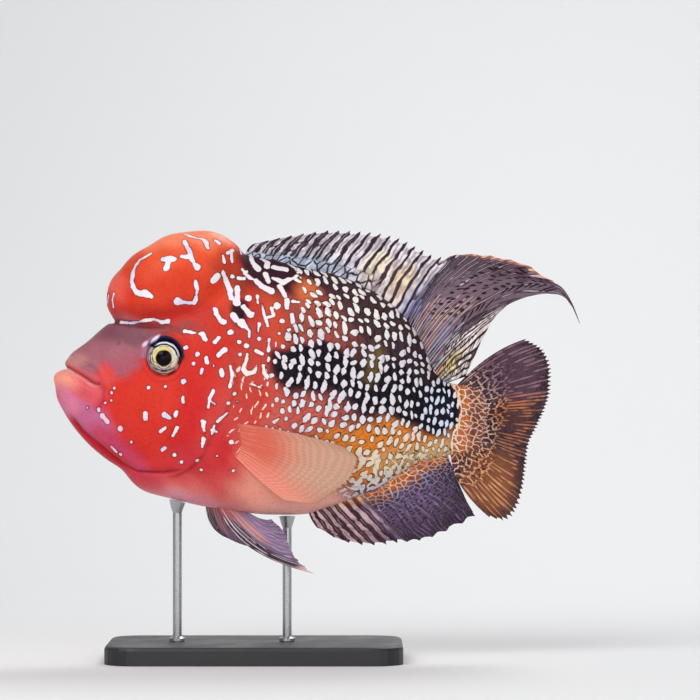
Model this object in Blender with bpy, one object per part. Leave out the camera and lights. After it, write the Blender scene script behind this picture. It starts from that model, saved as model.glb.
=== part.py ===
"""A life-size still model of a male flowerhorn cichlid, swimming, held up by two rods on a flat base.

Metres, +Z up. The fish faces -X and its left side faces -Y. The origin is the middle of the base's underside.
The body is drawn in units of a five-hundredth of the total length: u runs from the chin tip to the tail,
v upwards from the keel of the belly and w sideways from the middle plane.
"""

import math

import bmesh
import bpy
import numpy as np
from mathutils import Vector

TOTAL_LENGTH = 0.22  # chin tip to the end of the tail fin
UNIT = TOTAL_LENGTH / 500
KEEL_HEIGHT = 0.0634  # lowest point of the belly above the floor
MIDDLE_U = 200  # the u that stands over the base's middle
GAP = 0.0003  # clearance kept between neighbouring solids

# Tail bend: how far the tail fin's end swings towards +Y, and where the bend starts.
BEND_START, BEND_END, BEND_SWING = 250, 500, 16

# Torso stations: u, back v, belly v, half-width, v of the widest point, sharpness of the back, of the belly.
TORSO = [
    (0.4, 137, 126, 3.5, 131, 0.8, 0.8),
    (2, 142.5, 117, 10, 130, 0.8, 0.8),
    (5, 145, 110, 15, 129, 0.8, 0.8),
    (9, 147, 103, 19, 127, 0.8, 0.8),
    (11, 154, 99, 21, 126, 0.85, 0.8),
    (13, 160, 96, 23, 125, 0.9, 0.8),
    (20, 166, 86, 26.5, 122, 0.9, 0.8),
    (35, 178, 69, 32, 118, 0.95, 0.8),
    (55, 194, 54, 38, 116, 0.95, 0.85),
    (66, 202, 47, 40.5, 116, 0.95, 0.9),
    (78, 210, 33, 42.5, 116, 0.95, 0.95),
    (88, 216, 25.5, 44, 115, 0.95, 0.95),
    (110, 227, 18, 46.5, 114, 0.95, 0.9),
    (136, 241, 12, 50, 112, 1.0, 0.85),
    (165, 254, 6.5, 53, 108, 1.05, 0.8),
    (188, 262, 2.5, 54, 105, 1.1, 0.8),
    (215, 258, 0, 53, 102, 1.15, 0.8),
    (245, 251, 0, 50, 100, 1.15, 0.8),
    (271, 245, 7, 46, 98, 1.2, 0.85),
    (295, 237, 15, 41, 97, 1.25, 0.9),
    (318, 226, 24, 36, 98, 1.3, 0.95),
    (341, 210, 39, 29.5, 100, 1.4, 1.0),
    (357, 193, 50, 25, 100, 1.5, 1.0),
    (366, 178, 54, 22, 99, 1.5, 1.0),
    (374, 160, 56, 19.5, 98, 1.3, 1.0),
    (382, 142, 58, 17, 98, 1.1, 1.0),
    (390, 135, 59, 15.5, 97, 1.0, 1.0),
    (407, 132, 61, 12.5, 97, 1.0, 1.0),
]
TORSO_RINGS = 40
TORSO_SIDES = 24

# Forehead hump: centre, half-width, and its outline as (degrees from the tail direction, radius).
HUMP_CENTRE = (125, 226)
HUMP_HALF_WIDTH = 43
HUMP_FULLNESS = 0.85
HUMP_OUTLINE = [
    (0, 58),
    (34, 74),
    (50, 71),
    (81, 60),
    (121, 55),
    (158, 63),
    (172, 69),
    (189, 74),
    (203, 77),
    (213, 66),
    (232, 49),
    (270, 42),
    (315, 46),
    (360, 58),
]

EYE_CENTRE = (110.5, 30, 158.5)  # u, w, v
EYE_RADIUS = 19

# Thin cuts that part the body, as lines (u, v) through its whole width.
GILL_LINE = [
    (190, 285),
    (187, 243),
    (173, 197),
    (167, 160),
    (169, 128),
    (163, 92),
    (148, 62),
    (120, 46),
    (84, 41),
    (72, 20),
]
BROW_LINE = [(44, 190), (85, 190), (117, 187), (150, 190), (173, 197)]
MOUTH_LINE = [(-8, 148), (11, 150.5), (27, 141), (40, 133), (49, 131)]
UPPER_LIP_END = [(50, 129.5), (43, 147), (33, 164), (26, 184)]
CHIN_END = [(48, 132.5), (52, 115), (57, 90), (62, 66), (67, 42), (68, 30)]
TAIL_STALK_LINE = [(366, 240), (370, 40)]
# The gill cover's outline, and how far its inner face lies from the middle plane.
GILL_COVER = [
    (133, 168),
    (157, 170),
    (163.5, 152),
    (164.5, 128),
    (158.5, 94),
    (144.5, 67),
    (127, 58),
    (127, 80),
    (132, 118),
]
GILL_COVER_INNER_W = 37
CUT_WIDTH = 0.8

# Fins: one row for each part of the edge, as (share of the fin, root u, v, middle u, v, tip u, v).
DORSAL = [
    (0.00, 188, 258, 194, 269, 201, 273),
    (0.10, 213, 252, 225, 269, 239, 281.5),
    (0.20, 245, 245, 261, 268, 278, 286.5),
    (0.30, 277, 237, 294, 263, 312, 285),
    (0.40, 307, 226, 325, 256, 343, 279),
    (0.50, 333, 209, 351, 242, 369, 266.5),
    (0.56, 345, 198, 366, 234, 386, 260),
    (0.62, 354, 188, 384, 232, 415, 263),
    (0.70, 362, 177, 407, 232, 465, 255),
    (0.76, 367, 167, 433, 236, 505, 232),
    (0.788, 369, 162, 444, 238, 523, 210),
    (0.808, 371, 158, 446, 238, 526, 187),
    (0.827, 372, 155, 440, 229, 515, 219),
    (0.85, 374, 151, 428, 217, 492, 223),
    (0.88, 376, 146, 416, 203, 466, 218),
    (0.92, 379, 140, 408, 184, 442, 200),
    (0.96, 384, 135, 403, 156, 424, 167),
    (1.00, 390, 132, 398, 136, 406, 139),
]
TAIL = [
    (0.0, 402, 130, 436, 160, 473, 177.5),
    (0.1, 403, 124, 448, 149, 491, 166),
    (0.2, 403, 117, 453, 133, 498, 146),
    (0.3, 403, 110, 453, 118, 497, 124),
    (0.4, 403, 103, 450, 104, 491, 105),
    (0.5, 403, 96, 446, 92, 483, 88),
    (0.6, 403, 89, 442, 79, 475, 70),
    (0.7, 402, 82, 439, 65, 472.5, 50),
    (0.8, 401, 76, 435, 51, 470, 28),
    (0.9, 400, 70, 427, 37, 462, 3),
    (0.96, 398, 66, 418, 31, 450, -6),
    (1.0, 396, 63, 406, 30, 436, -3),
]
ANAL = [
    (0.00, 253, 4, 257, -5, 262, -12),
    (0.12, 267, 10, 275, -9, 283, -24),
    (0.25, 283, 15, 295, -10, 307, -30),
    (0.40, 303, 22, 318, -7, 332, -29),
    (0.50, 315, 27, 332, -4, 349, -27),
    (0.60, 327, 34, 348, 1, 369, -24),
    (0.70, 338, 42, 366, 10, 392, -15),
    (0.80, 350, 51, 388, 22, 421, -1),
    (0.88, 361, 56, 387, 31, 408, 11),
    (0.95, 373, 59, 388, 42, 398, 28),
    (1.00, 384, 61, 390, 53, 393, 47),
]
PECTORAL = [
    (0.00, 171, 95, 230, 86, 290, 70),
    (0.25, 172, 89, 237, 75, 304, 57),
    (0.50, 173, 82, 237, 61, 299, 41),
    (0.75, 174, 75, 228, 49, 278, 25),
    (1.00, 175, 68, 211, 42, 248, 16),
]
PELVIC_LEFT = [
    (0.00, 161, 15, 193, -29, 260, -56),
    (0.25, 166, 14, 204, -27, 245, -44),
    (0.50, 172, 13, 206, -18, 236, -31),
    (0.75, 178, 12, 206, -9, 230, -15),
    (1.00, 184, 11, 203, -1, 217, -2),
]
PELVIC_RIGHT = [
    (0.00, 150, 17, 157, -13, 182, -27),
    (0.50, 158, 15, 171, -17, 192, -32),
    (1.00, 168, 13, 184, -11, 200, -28),
]

BASE_SIZE = (0.13, 0.08, 0.008)
BASE_CORNER = 0.014
BASE_EDGE = 0.0015
ROD_RADIUS = 0.002
ROD_FLARE = 0.0036  # the pad under the belly and the foot on the base
ROD_PLACES = {"stand_rod_front": 122, "stand_rod_rear": 232}  # u of each rod
ROD_SIDES = 16

COLOURS = {
    "nuchal_hump": (0.80, 0.16, 0.06),
    "head": (0.70, 0.10, 0.06),
    "upper_jaw": (0.45, 0.20, 0.20),
    "lower_jaw": (0.75, 0.25, 0.25),
    "gill_cover": (0.68, 0.08, 0.05),
    "trunk": (0.22, 0.13, 0.12),
    "tail_stalk": (0.12, 0.11, 0.14),
    "eye": (0.50, 0.44, 0.22),
    "fin": (0.20, 0.14, 0.17),
    "breast_fin": (0.78, 0.42, 0.28),
    "stand_base": (0.02, 0.02, 0.022),
    "stand_rod": (0.60, 0.60, 0.62),
}


def through(rows, at):
    """A smooth curve through rows of (place, values...), which never swings past them."""
    table = np.array(rows, float)
    places, values = table[:, 0], table[:, 1:]
    steps = np.diff(places)[:, None]
    slopes = np.diff(values, axis=0) / steps
    ahead, behind = slopes[1:], slopes[:-1]
    both = np.where(ahead * behind > 0, ahead + behind, 1)
    inner = np.where(ahead * behind > 0, 2 * ahead * behind / both, 0)
    tangents = np.vstack([slopes[:1], inner, slopes[-1:]])
    i = int(np.clip(np.searchsorted(places, at) - 1, 0, len(places) - 2))
    h = steps[i]
    s = float(np.clip((at - places[i]) / h[0], 0, 1))
    start, end = values[i], values[i + 1]
    rise = s * s * (3 - 2 * s)
    return start + (end - start) * rise + h * s * (s - 1) * ((s - 1) * tangents[i] + s * tangents[i + 1])


def flex(u):
    """How far the tail's bend moves the body sideways at u."""
    return BEND_SWING * max(0.0, (u - BEND_START) / (BEND_END - BEND_START)) ** 2


def place(u, w, v):
    """A drawing point in metres. w is positive towards +Y, the fish's right."""
    return Vector(((u - MIDDLE_U) * UNIT, (w + flex(u)) * UNIT, v * UNIT + KEEL_HEIGHT))


def torso_point(u, angle, grow=0.0):
    """The torso's surface at u, set out by grow. An angle of 0 is its right side and 90 degrees its back."""
    back, belly, half, widest, back_power, belly_power = through(TORSO, u)
    across, up = math.cos(angle), math.sin(angle)
    reach = back + grow - widest if up > 0 else widest - belly + grow
    power = back_power if up > 0 else belly_power
    w = math.copysign(abs(across) ** power, across) * (half + grow)
    return u, w, widest + reach * up


def flank(u, v):
    """The torso's half-width at a height v."""
    back, belly, half, widest, back_power, belly_power = through(TORSO, u)
    up = v > widest
    rise = (v - widest) / (back - widest) if up else (widest - v) / (widest - belly)
    return half * math.sqrt(max(0.0, 1 - rise**2)) ** (back_power if up else belly_power)


def belly_height(x, y):
    """The height of the torso's underside over a point of the floor."""
    u = x / UNIT + MIDDLE_U
    _, belly, half, widest, _, belly_power = through(TORSO, u)
    across = min(1.0, abs(y / UNIT) / half) ** (1 / belly_power)
    return (widest - (widest - belly) * math.sqrt(1 - across**2)) * UNIT + KEEL_HEIGHT


def hump_point(direction, grow=0.0):
    """Where a direction from the hump's centre, a unit vector in (u, w, v), meets its surface."""
    along, side, up = direction
    angle = math.degrees(math.atan2(up, along)) % 360
    flat = math.hypot(along, up) ** HUMP_FULLNESS
    radius = (through(HUMP_OUTLINE, angle)[0] + grow) * flat
    turn = math.radians(angle)
    w = side * (HUMP_HALF_WIDTH + grow)
    return HUMP_CENTRE[0] + radius * math.cos(turn), w, HUMP_CENTRE[1] + radius * math.sin(turn)


def material(name, colour, roughness=0.35, metallic=0.0):
    """One Principled material, made once for each name."""
    if name in bpy.data.materials:
        return bpy.data.materials[name]
    made = bpy.data.materials.new(name)
    made.use_nodes = True
    shader = made.node_tree.nodes["Principled BSDF"]
    shader.inputs["Base Color"].default_value = (*colour, 1)
    shader.inputs["Roughness"].default_value = roughness
    shader.inputs["Metallic"].default_value = metallic
    return made


def object_from(name, bm, paint=None):
    """A bmesh as a named object with its faces pointing out."""
    bm.normal_update()
    bmesh.ops.recalc_face_normals(bm, faces=bm.faces)
    mesh = bpy.data.meshes.new(name)
    bm.to_mesh(mesh)
    bm.free()
    made = bpy.data.objects.new(name, mesh)
    bpy.context.scene.collection.objects.link(made)
    if paint:
        mesh.materials.append(paint)
    return made


def combine(target, tool, operation):
    """Cuts, joins or intersects target with tool, and removes the tool."""
    step = target.modifiers.new("shape", "BOOLEAN")
    step.object, step.operation, step.solver = tool, operation, "EXACT"
    bpy.context.view_layer.update()
    graph = bpy.context.evaluated_depsgraph_get()
    mesh = bpy.data.meshes.new_from_object(target.evaluated_get(graph))
    target.modifiers.clear()
    old, target.data = target.data, mesh
    bpy.data.meshes.remove(old)
    bpy.data.objects.remove(tool)
    return target


def torso(grow=0.0):
    """The body from chin to tail stalk, without the hump, as rings joined along its length."""
    bm = bmesh.new()
    first, last = TORSO[0][0] - grow, TORSO[-1][0] + grow
    rings = []
    for i in range(TORSO_RINGS):
        share = i / (TORSO_RINGS - 1)
        u = first + (last - first) * share ** 1.35
        points = [torso_point(u, 2 * math.pi * k / TORSO_SIDES, grow) for k in range(TORSO_SIDES)]
        verts = [bm.verts.new(place(*p)) for p in points]
        rings.append([bm.edges.new((verts[k - 1], verts[k])) for k in range(TORSO_SIDES)])
    for near, far in zip(rings, rings[1:]):
        bmesh.ops.bridge_loops(bm, edges=near + far)
    bmesh.ops.holes_fill(bm, edges=rings[0] + rings[-1], sides=TORSO_SIDES)
    return object_from("torso", bm)


def hump(grow=0.0):
    """The forehead hump, a ball drawn out to its own outline, with its poles on the two sides."""
    bm = bmesh.new()
    bmesh.ops.create_uvsphere(bm, u_segments=30, v_segments=14, radius=1)
    for vert in bm.verts:
        along, up, side = vert.co.normalized()
        vert.co = place(*hump_point((along, side, up), grow))
    return object_from("hump", bm)


def ball(centre, radius, name="ball", paint=None):
    """A ball about a drawing point (u, w, v), with its radius in units."""
    bm = bmesh.new()
    bmesh.ops.create_uvsphere(bm, u_segments=16, v_segments=8, radius=radius * UNIT)
    # The poles point sideways, so that rings of facets run round the pupil.
    for vert in bm.verts:
        vert.co = Vector((vert.co.x, vert.co.z, vert.co.y)) + place(*centre)
    return object_from(name, bm, paint)


def beside(line, offset):
    """The line (u, v) moved sideways, to the left of its run when offset is above 0."""
    moved = []
    for i, point in enumerate(line):
        before, after = Vector(line[max(i - 1, 0)]), Vector(line[min(i + 1, len(line) - 1)])
        run = (after - before).normalized()
        moved.append((point[0] - run.y * offset, point[1] + run.x * offset))
    return moved


def block(outline, w_from=-90, w_to=90):
    """A block with an outline (u, v) that runs sideways from w_from to w_to."""
    bm = bmesh.new()
    face = bm.faces.new([bm.verts.new(place(u, w_from, v)) for u, v in outline])
    raised = bmesh.ops.extrude_face_region(bm, geom=[face])["geom"]
    far = [e for e in raised if isinstance(e, bmesh.types.BMVert)]
    bmesh.ops.translate(bm, verts=far, vec=Vector((0, (w_to - w_from) * UNIT, 0)))
    bmesh.ops.triangulate(bm, faces=bm.faces)
    return object_from("block", bm)


def gill_block(side, grow=0.0):
    """The block that a gill cover is cut out with, set out by grow."""
    middle = Vector((sum(u for u, _ in GILL_COVER), sum(v for _, v in GILL_COVER))) / len(GILL_COVER)
    moved = []
    for point in GILL_COVER:
        out = Vector(point) - middle
        moved.append(tuple(Vector(point) + out.normalized() * grow))
    reach = sorted((side * (GILL_COVER_INNER_W - grow), side * 80))
    return block(moved, *reach)


def whole_body(grow=0.0):
    """Torso and hump as one solid, set out by grow."""
    return combine(torso(grow), hump(grow), "UNION")


def regions():
    """The side outlines (u, v) of the body's parts, which leave a thin gap along the lines between them."""
    half = CUT_WIDTH / 2
    behind_gills, before_gills = beside(GILL_LINE, half), beside(GILL_LINE, -half)
    above_brow, below_brow = beside(BROW_LINE, half), beside(BROW_LINE, -half)
    above_mouth, below_mouth = beside(MOUTH_LINE, half)[:-1], beside(MOUTH_LINE, -half)[:-1]
    before_lip_end, behind_lip_end = beside(UPPER_LIP_END, half), beside(UPPER_LIP_END, -half)
    before_chin_end, behind_chin_end = beside(CHIN_END, -half)[1:], beside(CHIN_END, half)[1:]
    before_stalk, behind_stalk = beside(TAIL_STALK_LINE, -half), beside(TAIL_STALK_LINE, half)
    return {
        "nuchal_hump": above_brow + before_gills[1::-1] + [(190, 330), (20, 330), (20, 190)],
        "upper_jaw": above_mouth + before_lip_end[1:] + [(-20, 184)],
        "lower_jaw": below_mouth + before_chin_end + [(-20, 30)],
        "head": behind_lip_end[::-1] + behind_chin_end[:-1] + before_gills[-2:2:-1] + below_brow[::-1],
        "trunk": behind_gills + [(60, -40), (368, -40)] + before_stalk[::-1] + [(366, 330), (190, 330)],
        "tail_stalk": behind_stalk + [(440, 40), (440, 240)],
    }


def flesh():
    """Models the body whole, then parts it along the regions and cuts out the eye sockets and gill covers."""
    body = whole_body()
    for name, outline in regions().items():
        combine(copy_of(body, name), block(outline), "INTERSECT")
    for side, name in ((-1, "left"), (1, "right")):
        combine(copy_of(body, f"gill_cover_{name}"), gill_block(side), "INTERSECT")
        combine(bpy.data.objects["head"], gill_block(side, CUT_WIDTH), "DIFFERENCE")
        u, w, v = EYE_CENTRE
        socket = ball((u, side * w, v), EYE_RADIUS + GAP / UNIT)
        combine(bpy.data.objects["head"], socket, "DIFFERENCE")
    bpy.data.objects.remove(body)


def copy_of(body, name):
    """The body once more, under a part's name and with its material."""
    made = bpy.data.objects.new(name, body.data.copy())
    made.data.name = name
    bpy.context.scene.collection.objects.link(made)
    paint = name.replace("_left", "").replace("_right", "")
    made.data.materials.append(material(paint, COLOURS[paint]))
    return made


def fin(name, rows, rays, steps, notch, side_at, paint, root_thick=4.0, tip_thick=1.5):
    """A fin as a fan of rays, bent out of a flat slab.

    notch gives how far the web falls short of the rays' tips. side_at gives the fin's w from the share of its
    width, the reach from root to tip, u and v.
    """
    bm = bmesh.new()
    bmesh.ops.create_grid(bm, x_segments=2 * rays, y_segments=steps, size=1)
    raised = bmesh.ops.extrude_face_region(bm, geom=bm.faces[:])["geom"]
    far = [e for e in raised if isinstance(e, bmesh.types.BMVert)]
    bmesh.ops.translate(bm, verts=far, vec=(0, 0, 1))
    for vert in bm.verts:
        share, reach, side = (vert.co.x + 1) / 2, (vert.co.y + 1) / 2, vert.co.z - 0.5
        reach *= 1 - notch(share) * abs(math.sin(math.pi * rays * share))
        root_u, root_v, mid_u, mid_v, tip_u, tip_v = through(rows, share)
        # One parabola through the root, the middle and the tip.
        a, b, c = (1 - reach) * (1 - 2 * reach), 4 * reach * (1 - reach), reach * (2 * reach - 1)
        u = a * root_u + b * mid_u + c * tip_u
        v = a * root_v + b * mid_v + c * tip_v
        thick = root_thick + (tip_thick - root_thick) * reach
        vert.co = place(u, side_at(share, reach, u, v) + side * thick, v)
    bmesh.ops.triangulate(bm, faces=bm.faces)
    return object_from(name, bm, material(paint, COLOURS[paint]))


def dorsal_notch(share):
    """Deep between the spines in front, shallow between the soft rays behind."""
    return 0.10 if share < 0.58 else 0.03


def anal_notch(share):
    return 0.10 if share < 0.45 else 0.04


def tail_notch(share):
    return 0.03


def breast_notch(share):
    return 0.02


def belly_notch(share):
    return 0.05


def wave(share, reach, u, v):
    """The dorsal and anal fins stand in the middle plane and wave a little."""
    return 0.3 + 3.0 * reach * math.sin(7 * share)


def cupped(share, reach, u, v):
    """The tail fin's edges stand a little to the right of its middle."""
    return 9 * reach**2 * math.cos(2 * math.pi * share)


def breast_side(side, spread):
    """A breast fin's stand off its flank."""

    def at(share, reach, u, v):
        return side * (flank(u, v) - 2.5 + 4 * reach + spread * reach**1.6)

    return at


def belly_side(side):
    """A belly fin's slant outwards under the breast."""

    def at(share, reach, u, v):
        return side * (11 + 26 * reach - 6 * share)

    return at


def unpaired_fins():
    """The dorsal, anal and tail fins."""
    fin("dorsal_fin", DORSAL, 26, 4, dorsal_notch, wave, "fin")
    fin("anal_fin", ANAL, 15, 3, anal_notch, wave, "fin")
    fin("tail_fin", TAIL, 15, 4, tail_notch, cupped, "fin", root_thick=8)


def paired_fins():
    """The breast fins on the flanks and the belly fins under the breast."""
    for side, name, spread, rows in ((-1, "left", 17, PELVIC_LEFT), (1, "right", 24, PELVIC_RIGHT)):
        breast = breast_side(side, spread)
        fin(f"pectoral_fin_{name}", PECTORAL, 8, 4, breast_notch, breast, "breast_fin", root_thick=3)
        fin(f"pelvic_fin_{name}", rows, 5, 5, belly_notch, belly_side(side), "fin", root_thick=3.5)


def clear_of_body(names):
    """Cuts the root of each fin back to the body's skin, less the gap."""
    for name in names:
        combine(bpy.data.objects[name], whole_body(GAP / UNIT), "DIFFERENCE")


def eyes():
    """The two eyeballs, a gap smaller than their sockets."""
    for side, name in ((-1, "left"), (1, "right")):
        u, w, v = EYE_CENTRE
        ball((u, side * w, v), EYE_RADIUS, f"eye_{name}", material("eye", COLOURS["eye"], 0.08))


def stand():
    """A flat base with rounded corners, and two rods whose flared pads carry the belly."""
    bm = bmesh.new()
    bmesh.ops.create_cube(bm, size=1)
    bmesh.ops.scale(bm, verts=bm.verts, vec=BASE_SIZE)
    bmesh.ops.translate(bm, verts=bm.verts, vec=(0, 0, BASE_SIZE[2] / 2))
    upright = [e for e in bm.edges if abs(e.verts[0].co.z - e.verts[1].co.z) > BASE_SIZE[2] / 2]
    rounding = {"profile": 0.5, "affect": "EDGES", "material": -1}
    bmesh.ops.bevel(bm, geom=upright, offset=BASE_CORNER, segments=6, **rounding)
    rim = [e for e in bm.edges if all(v.co.z > BASE_SIZE[2] * 0.9 for v in e.verts)]
    bmesh.ops.bevel(bm, geom=rim, offset=BASE_EDGE, segments=2, **rounding)
    object_from("stand_base", bm, material("stand_base", COLOURS["stand_base"], 0.4))
    for name, u in ROD_PLACES.items():
        x = (u - MIDDLE_U) * UNIT
        rod(name, x)


def rod(name, x):
    """A round rod with a flared foot and a flared pad whose top follows the belly."""
    foot = BASE_SIZE[2] + GAP
    top = belly_height(x, 0) - GAP
    profile = [(ROD_FLARE, foot), (ROD_FLARE, foot + 0.0012), (ROD_RADIUS, foot + 0.002)]
    profile += [(ROD_RADIUS, top - 0.005), (ROD_FLARE * 0.75, top - 0.003), (ROD_FLARE, top)]
    bm = bmesh.new()
    profile = [(0, foot), *profile, (0, top)]
    start = [bm.verts.new((radius, 0, z)) for radius, z in profile]
    edges = [bm.edges.new(pair) for pair in zip(start, start[1:])]
    turn = {"cent": (0, 0, 0), "axis": (0, 0, 1), "angle": 2 * math.pi}
    bmesh.ops.spin(bm, geom=start + edges, steps=ROD_SIDES, use_merge=True, **turn)
    bmesh.ops.remove_doubles(bm, verts=bm.verts, dist=1e-6)
    for vert in bm.verts:
        on_top = vert.co.z > top - 1e-6
        vert.co.x += x
        if on_top:
            vert.co.z = belly_height(vert.co.x, vert.co.y) - GAP
    object_from(name, bm, material("stand_rod", COLOURS["stand_rod"], 0.25, 1.0))


def main():
    for old in list(bpy.data.objects):
        bpy.data.objects.remove(old)
    flesh()
    eyes()
    unpaired_fins()
    paired_fins()
    fins = [o.name for o in bpy.data.objects if "_fin" in o.name]
    clear_of_body(fins)
    stand()


main()
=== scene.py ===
"""The looks of a life-size flowerhorn cichlid on its stand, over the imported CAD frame.

Metres, +Z up, the fish's head towards -X and its left side towards -Y. Shapes and markings are drawn in units
of a five-hundredth of the fish's length: u runs from the chin to the tail, v up from the keel, and w to the
fish's right.
"""

import math

import bmesh
import bpy
import numpy as np
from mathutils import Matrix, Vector
from mathutils.bvhtree import BVHTree
from mathutils.kdtree import KDTree


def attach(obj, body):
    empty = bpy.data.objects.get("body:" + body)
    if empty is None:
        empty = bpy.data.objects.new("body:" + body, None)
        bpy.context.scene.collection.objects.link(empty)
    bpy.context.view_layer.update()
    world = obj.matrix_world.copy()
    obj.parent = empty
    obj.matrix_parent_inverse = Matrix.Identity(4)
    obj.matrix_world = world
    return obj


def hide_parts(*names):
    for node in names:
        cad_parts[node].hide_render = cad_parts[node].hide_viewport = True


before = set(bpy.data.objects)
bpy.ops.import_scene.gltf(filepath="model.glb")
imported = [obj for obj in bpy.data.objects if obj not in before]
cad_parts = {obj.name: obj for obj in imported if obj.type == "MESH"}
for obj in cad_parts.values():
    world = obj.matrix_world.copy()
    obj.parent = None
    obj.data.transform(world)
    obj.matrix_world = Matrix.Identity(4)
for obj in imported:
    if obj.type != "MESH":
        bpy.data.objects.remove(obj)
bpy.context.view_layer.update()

# --------------------------------------------------------------------------------------------------
# The skin. One closed skin over head, hump, trunk and tail stalk, soft and wet. A body lofted through
# stations and a ball for the forehead hump are grown together, and eye sockets, lips, gill covers and folds
# are worked into them. White strokes and pearls are painted on.

UNIT = 0.22 / 500
KEEL_HEIGHT = 0.0634
MIDDLE_U = 200
BEND_START, BEND_END, BEND_SWING = 250, 500, 16

# u, back v, belly v, half-width, v of the widest point, sharpness of the back, of the belly
TORSO = np.array([
    (0.4, 137, 126, 3.5, 131, 0.8, 0.8),
    (2, 142.5, 117, 10, 130, 0.8, 0.8),
    (5, 145, 110, 15, 129, 0.8, 0.8),
    (9, 147, 103, 19, 127, 0.8, 0.8),
    (11, 154, 99, 21, 126, 0.85, 0.8),
    (13, 160, 96, 23, 125, 0.9, 0.8),
    (20, 166, 86, 26.5, 122, 0.9, 0.8),
    (35, 178, 69, 32, 118, 0.95, 0.8),
    (55, 194, 54, 38, 116, 0.95, 0.85),
    (66, 202, 47, 40.5, 116, 0.95, 0.9),
    (78, 210, 33, 42.5, 116, 0.95, 0.95),
    (88, 216, 25.5, 44, 115, 0.95, 0.95),
    (110, 227, 18, 46.5, 114, 0.95, 0.9),
    (136, 241, 12, 50, 112, 1.0, 0.85),
    (165, 254, 6.5, 53, 108, 1.05, 0.8),
    (188, 262, 2.5, 54, 105, 1.1, 0.8),
    (215, 258, 0, 53, 102, 1.15, 0.8),
    (245, 251, 0, 50, 100, 1.15, 0.8),
    (271, 245, 7, 46, 98, 1.2, 0.85),
    (295, 237, 15, 41, 97, 1.25, 0.9),
    (318, 226, 24, 36, 98, 1.3, 0.95),
    (341, 210, 39, 29.5, 100, 1.4, 1.0),
    (357, 193, 50, 25, 100, 1.5, 1.0),
    (366, 178, 54, 22, 99, 1.5, 1.0),
    (374, 160, 56, 19.5, 98, 1.3, 1.0),
    (382, 142, 58, 17, 98, 1.1, 1.0),
    (390, 135, 59, 15.5, 97, 1.0, 1.0),
    (404, 132, 61, 13, 97, 1.0, 1.0),
    (415, 131, 62, 9.5, 97, 1.0, 1.0),
    (426, 129, 64, 5.5, 97, 1.0, 1.0),
    (436, 126, 68, 2.6, 97, 1.0, 1.0),
])
HUMP_CENTRE = (125, 226)
HUMP_HALF_WIDTH = 43
HUMP_FULLNESS = 0.85
HUMP_OUTLINE = np.array([
    (0, 58), (34, 74), (50, 71), (81, 60), (121, 55), (158, 63), (172, 70), (184, 74.5),
    (193, 76), (200, 74), (206, 70), (213, 65), (232, 49), (270, 42), (315, 46), (360, 58),
])
EYE_CENTRE = (110.5, 30, 158.5)  # u, w, v
EYE_RADIUS = 19
SKIN_VOXEL = 0.00126
HEAD_END_X = (150 - MIDDLE_U) * UNIT  # in front of this each square of the skin is split into four
COAT_DEPTH = 0.00042  # how far the skin lies inside the body's outline where scales cover it


def through(rows, at):
    """Smooth curves through rows of (place, values...), never swinging past them, at an array of places."""
    places, values = rows[:, 0].astype(float), rows[:, 1:].astype(float)
    steps = np.diff(places)[:, None]
    slopes = np.diff(values, axis=0) / steps
    ahead, behind = slopes[1:], slopes[:-1]
    same = ahead * behind > 0
    inner = np.where(same, 2 * ahead * behind / np.where(same, ahead + behind, 1), 0)
    tangents = np.vstack([slopes[:1], inner, slopes[-1:]])
    at = np.atleast_1d(at)
    i = np.clip(np.searchsorted(places, at) - 1, 0, len(places) - 2)
    h = steps[i]
    s = np.clip((at - places[i])[:, None] / h, 0, 1)
    start, end = values[i], values[i + 1]
    rise = s * s * (3 - 2 * s)
    return start + (end - start) * rise + h * s * (s - 1) * ((s - 1) * tangents[i] + s * tangents[i + 1])


def flex(u):
    """How far the body bends to its right at u."""
    return BEND_SWING * np.maximum(0, (u - BEND_START) / (BEND_END - BEND_START)) ** 2


def place(points):
    """Drawing points (u, w, v) in metres."""
    u, w, v = np.asarray(points, float).T
    return np.column_stack([(u - MIDDLE_U) * UNIT, (w + flex(u)) * UNIT, v * UNIT + KEEL_HEIGHT])


def drawing(points):
    """Points in metres as drawing points (u, w, v)."""
    x, y, z = np.asarray(points, float).T
    u = x / UNIT + MIDDLE_U
    return np.column_stack([u, y / UNIT - flex(u), (z - KEEL_HEIGHT) / UNIT])


def torso_ring(u, angles):
    """The torso's outline at u, as drawing points. Angle 0 is its right side and a quarter turn its back."""
    back, belly, half, widest, back_power, belly_power = through(TORSO, u)[0]
    across, up = np.cos(angles), np.sin(angles)
    reach = np.where(up > 0, back - widest, widest - belly)
    power = np.where(up > 0, back_power, belly_power)
    w = np.sign(across) * np.abs(across) ** power * half
    return np.column_stack([np.full(len(angles), float(u)), w, widest + reach * up])


def smooth(value, low, high):
    """0 below low and 1 above high, with a soft rise between them."""
    t = np.clip((value - low) / (high - low), 0, 1)
    return t * t * (3 - 2 * t)


def fall(value, low, high):
    """1 below low and 0 above high."""
    return 1 - smooth(value, low, high)


def bell(distance, width):
    return np.exp(-((distance / width) ** 2))


def read(mesh, what="co"):
    """The mesh's vertex positions or normals as an array."""
    data = np.empty(len(mesh.vertices) * 3)
    mesh.vertices.foreach_get(what, data)
    return data.reshape(-1, 3)


def write(mesh, points):
    mesh.vertices.foreach_set("co", np.ascontiguousarray(points, dtype=np.float32).ravel())
    mesh.update()


def make_object(name, bm):
    """A bmesh as a smooth-shaded object with its faces pointing out."""
    bm.normal_update()
    bmesh.ops.recalc_face_normals(bm, faces=bm.faces)
    mesh = bpy.data.meshes.new(name)
    bm.to_mesh(mesh)
    bm.free()
    mesh.shade_smooth()
    made = bpy.data.objects.new(name, mesh)
    bpy.context.scene.collection.objects.link(made)
    return made


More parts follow.
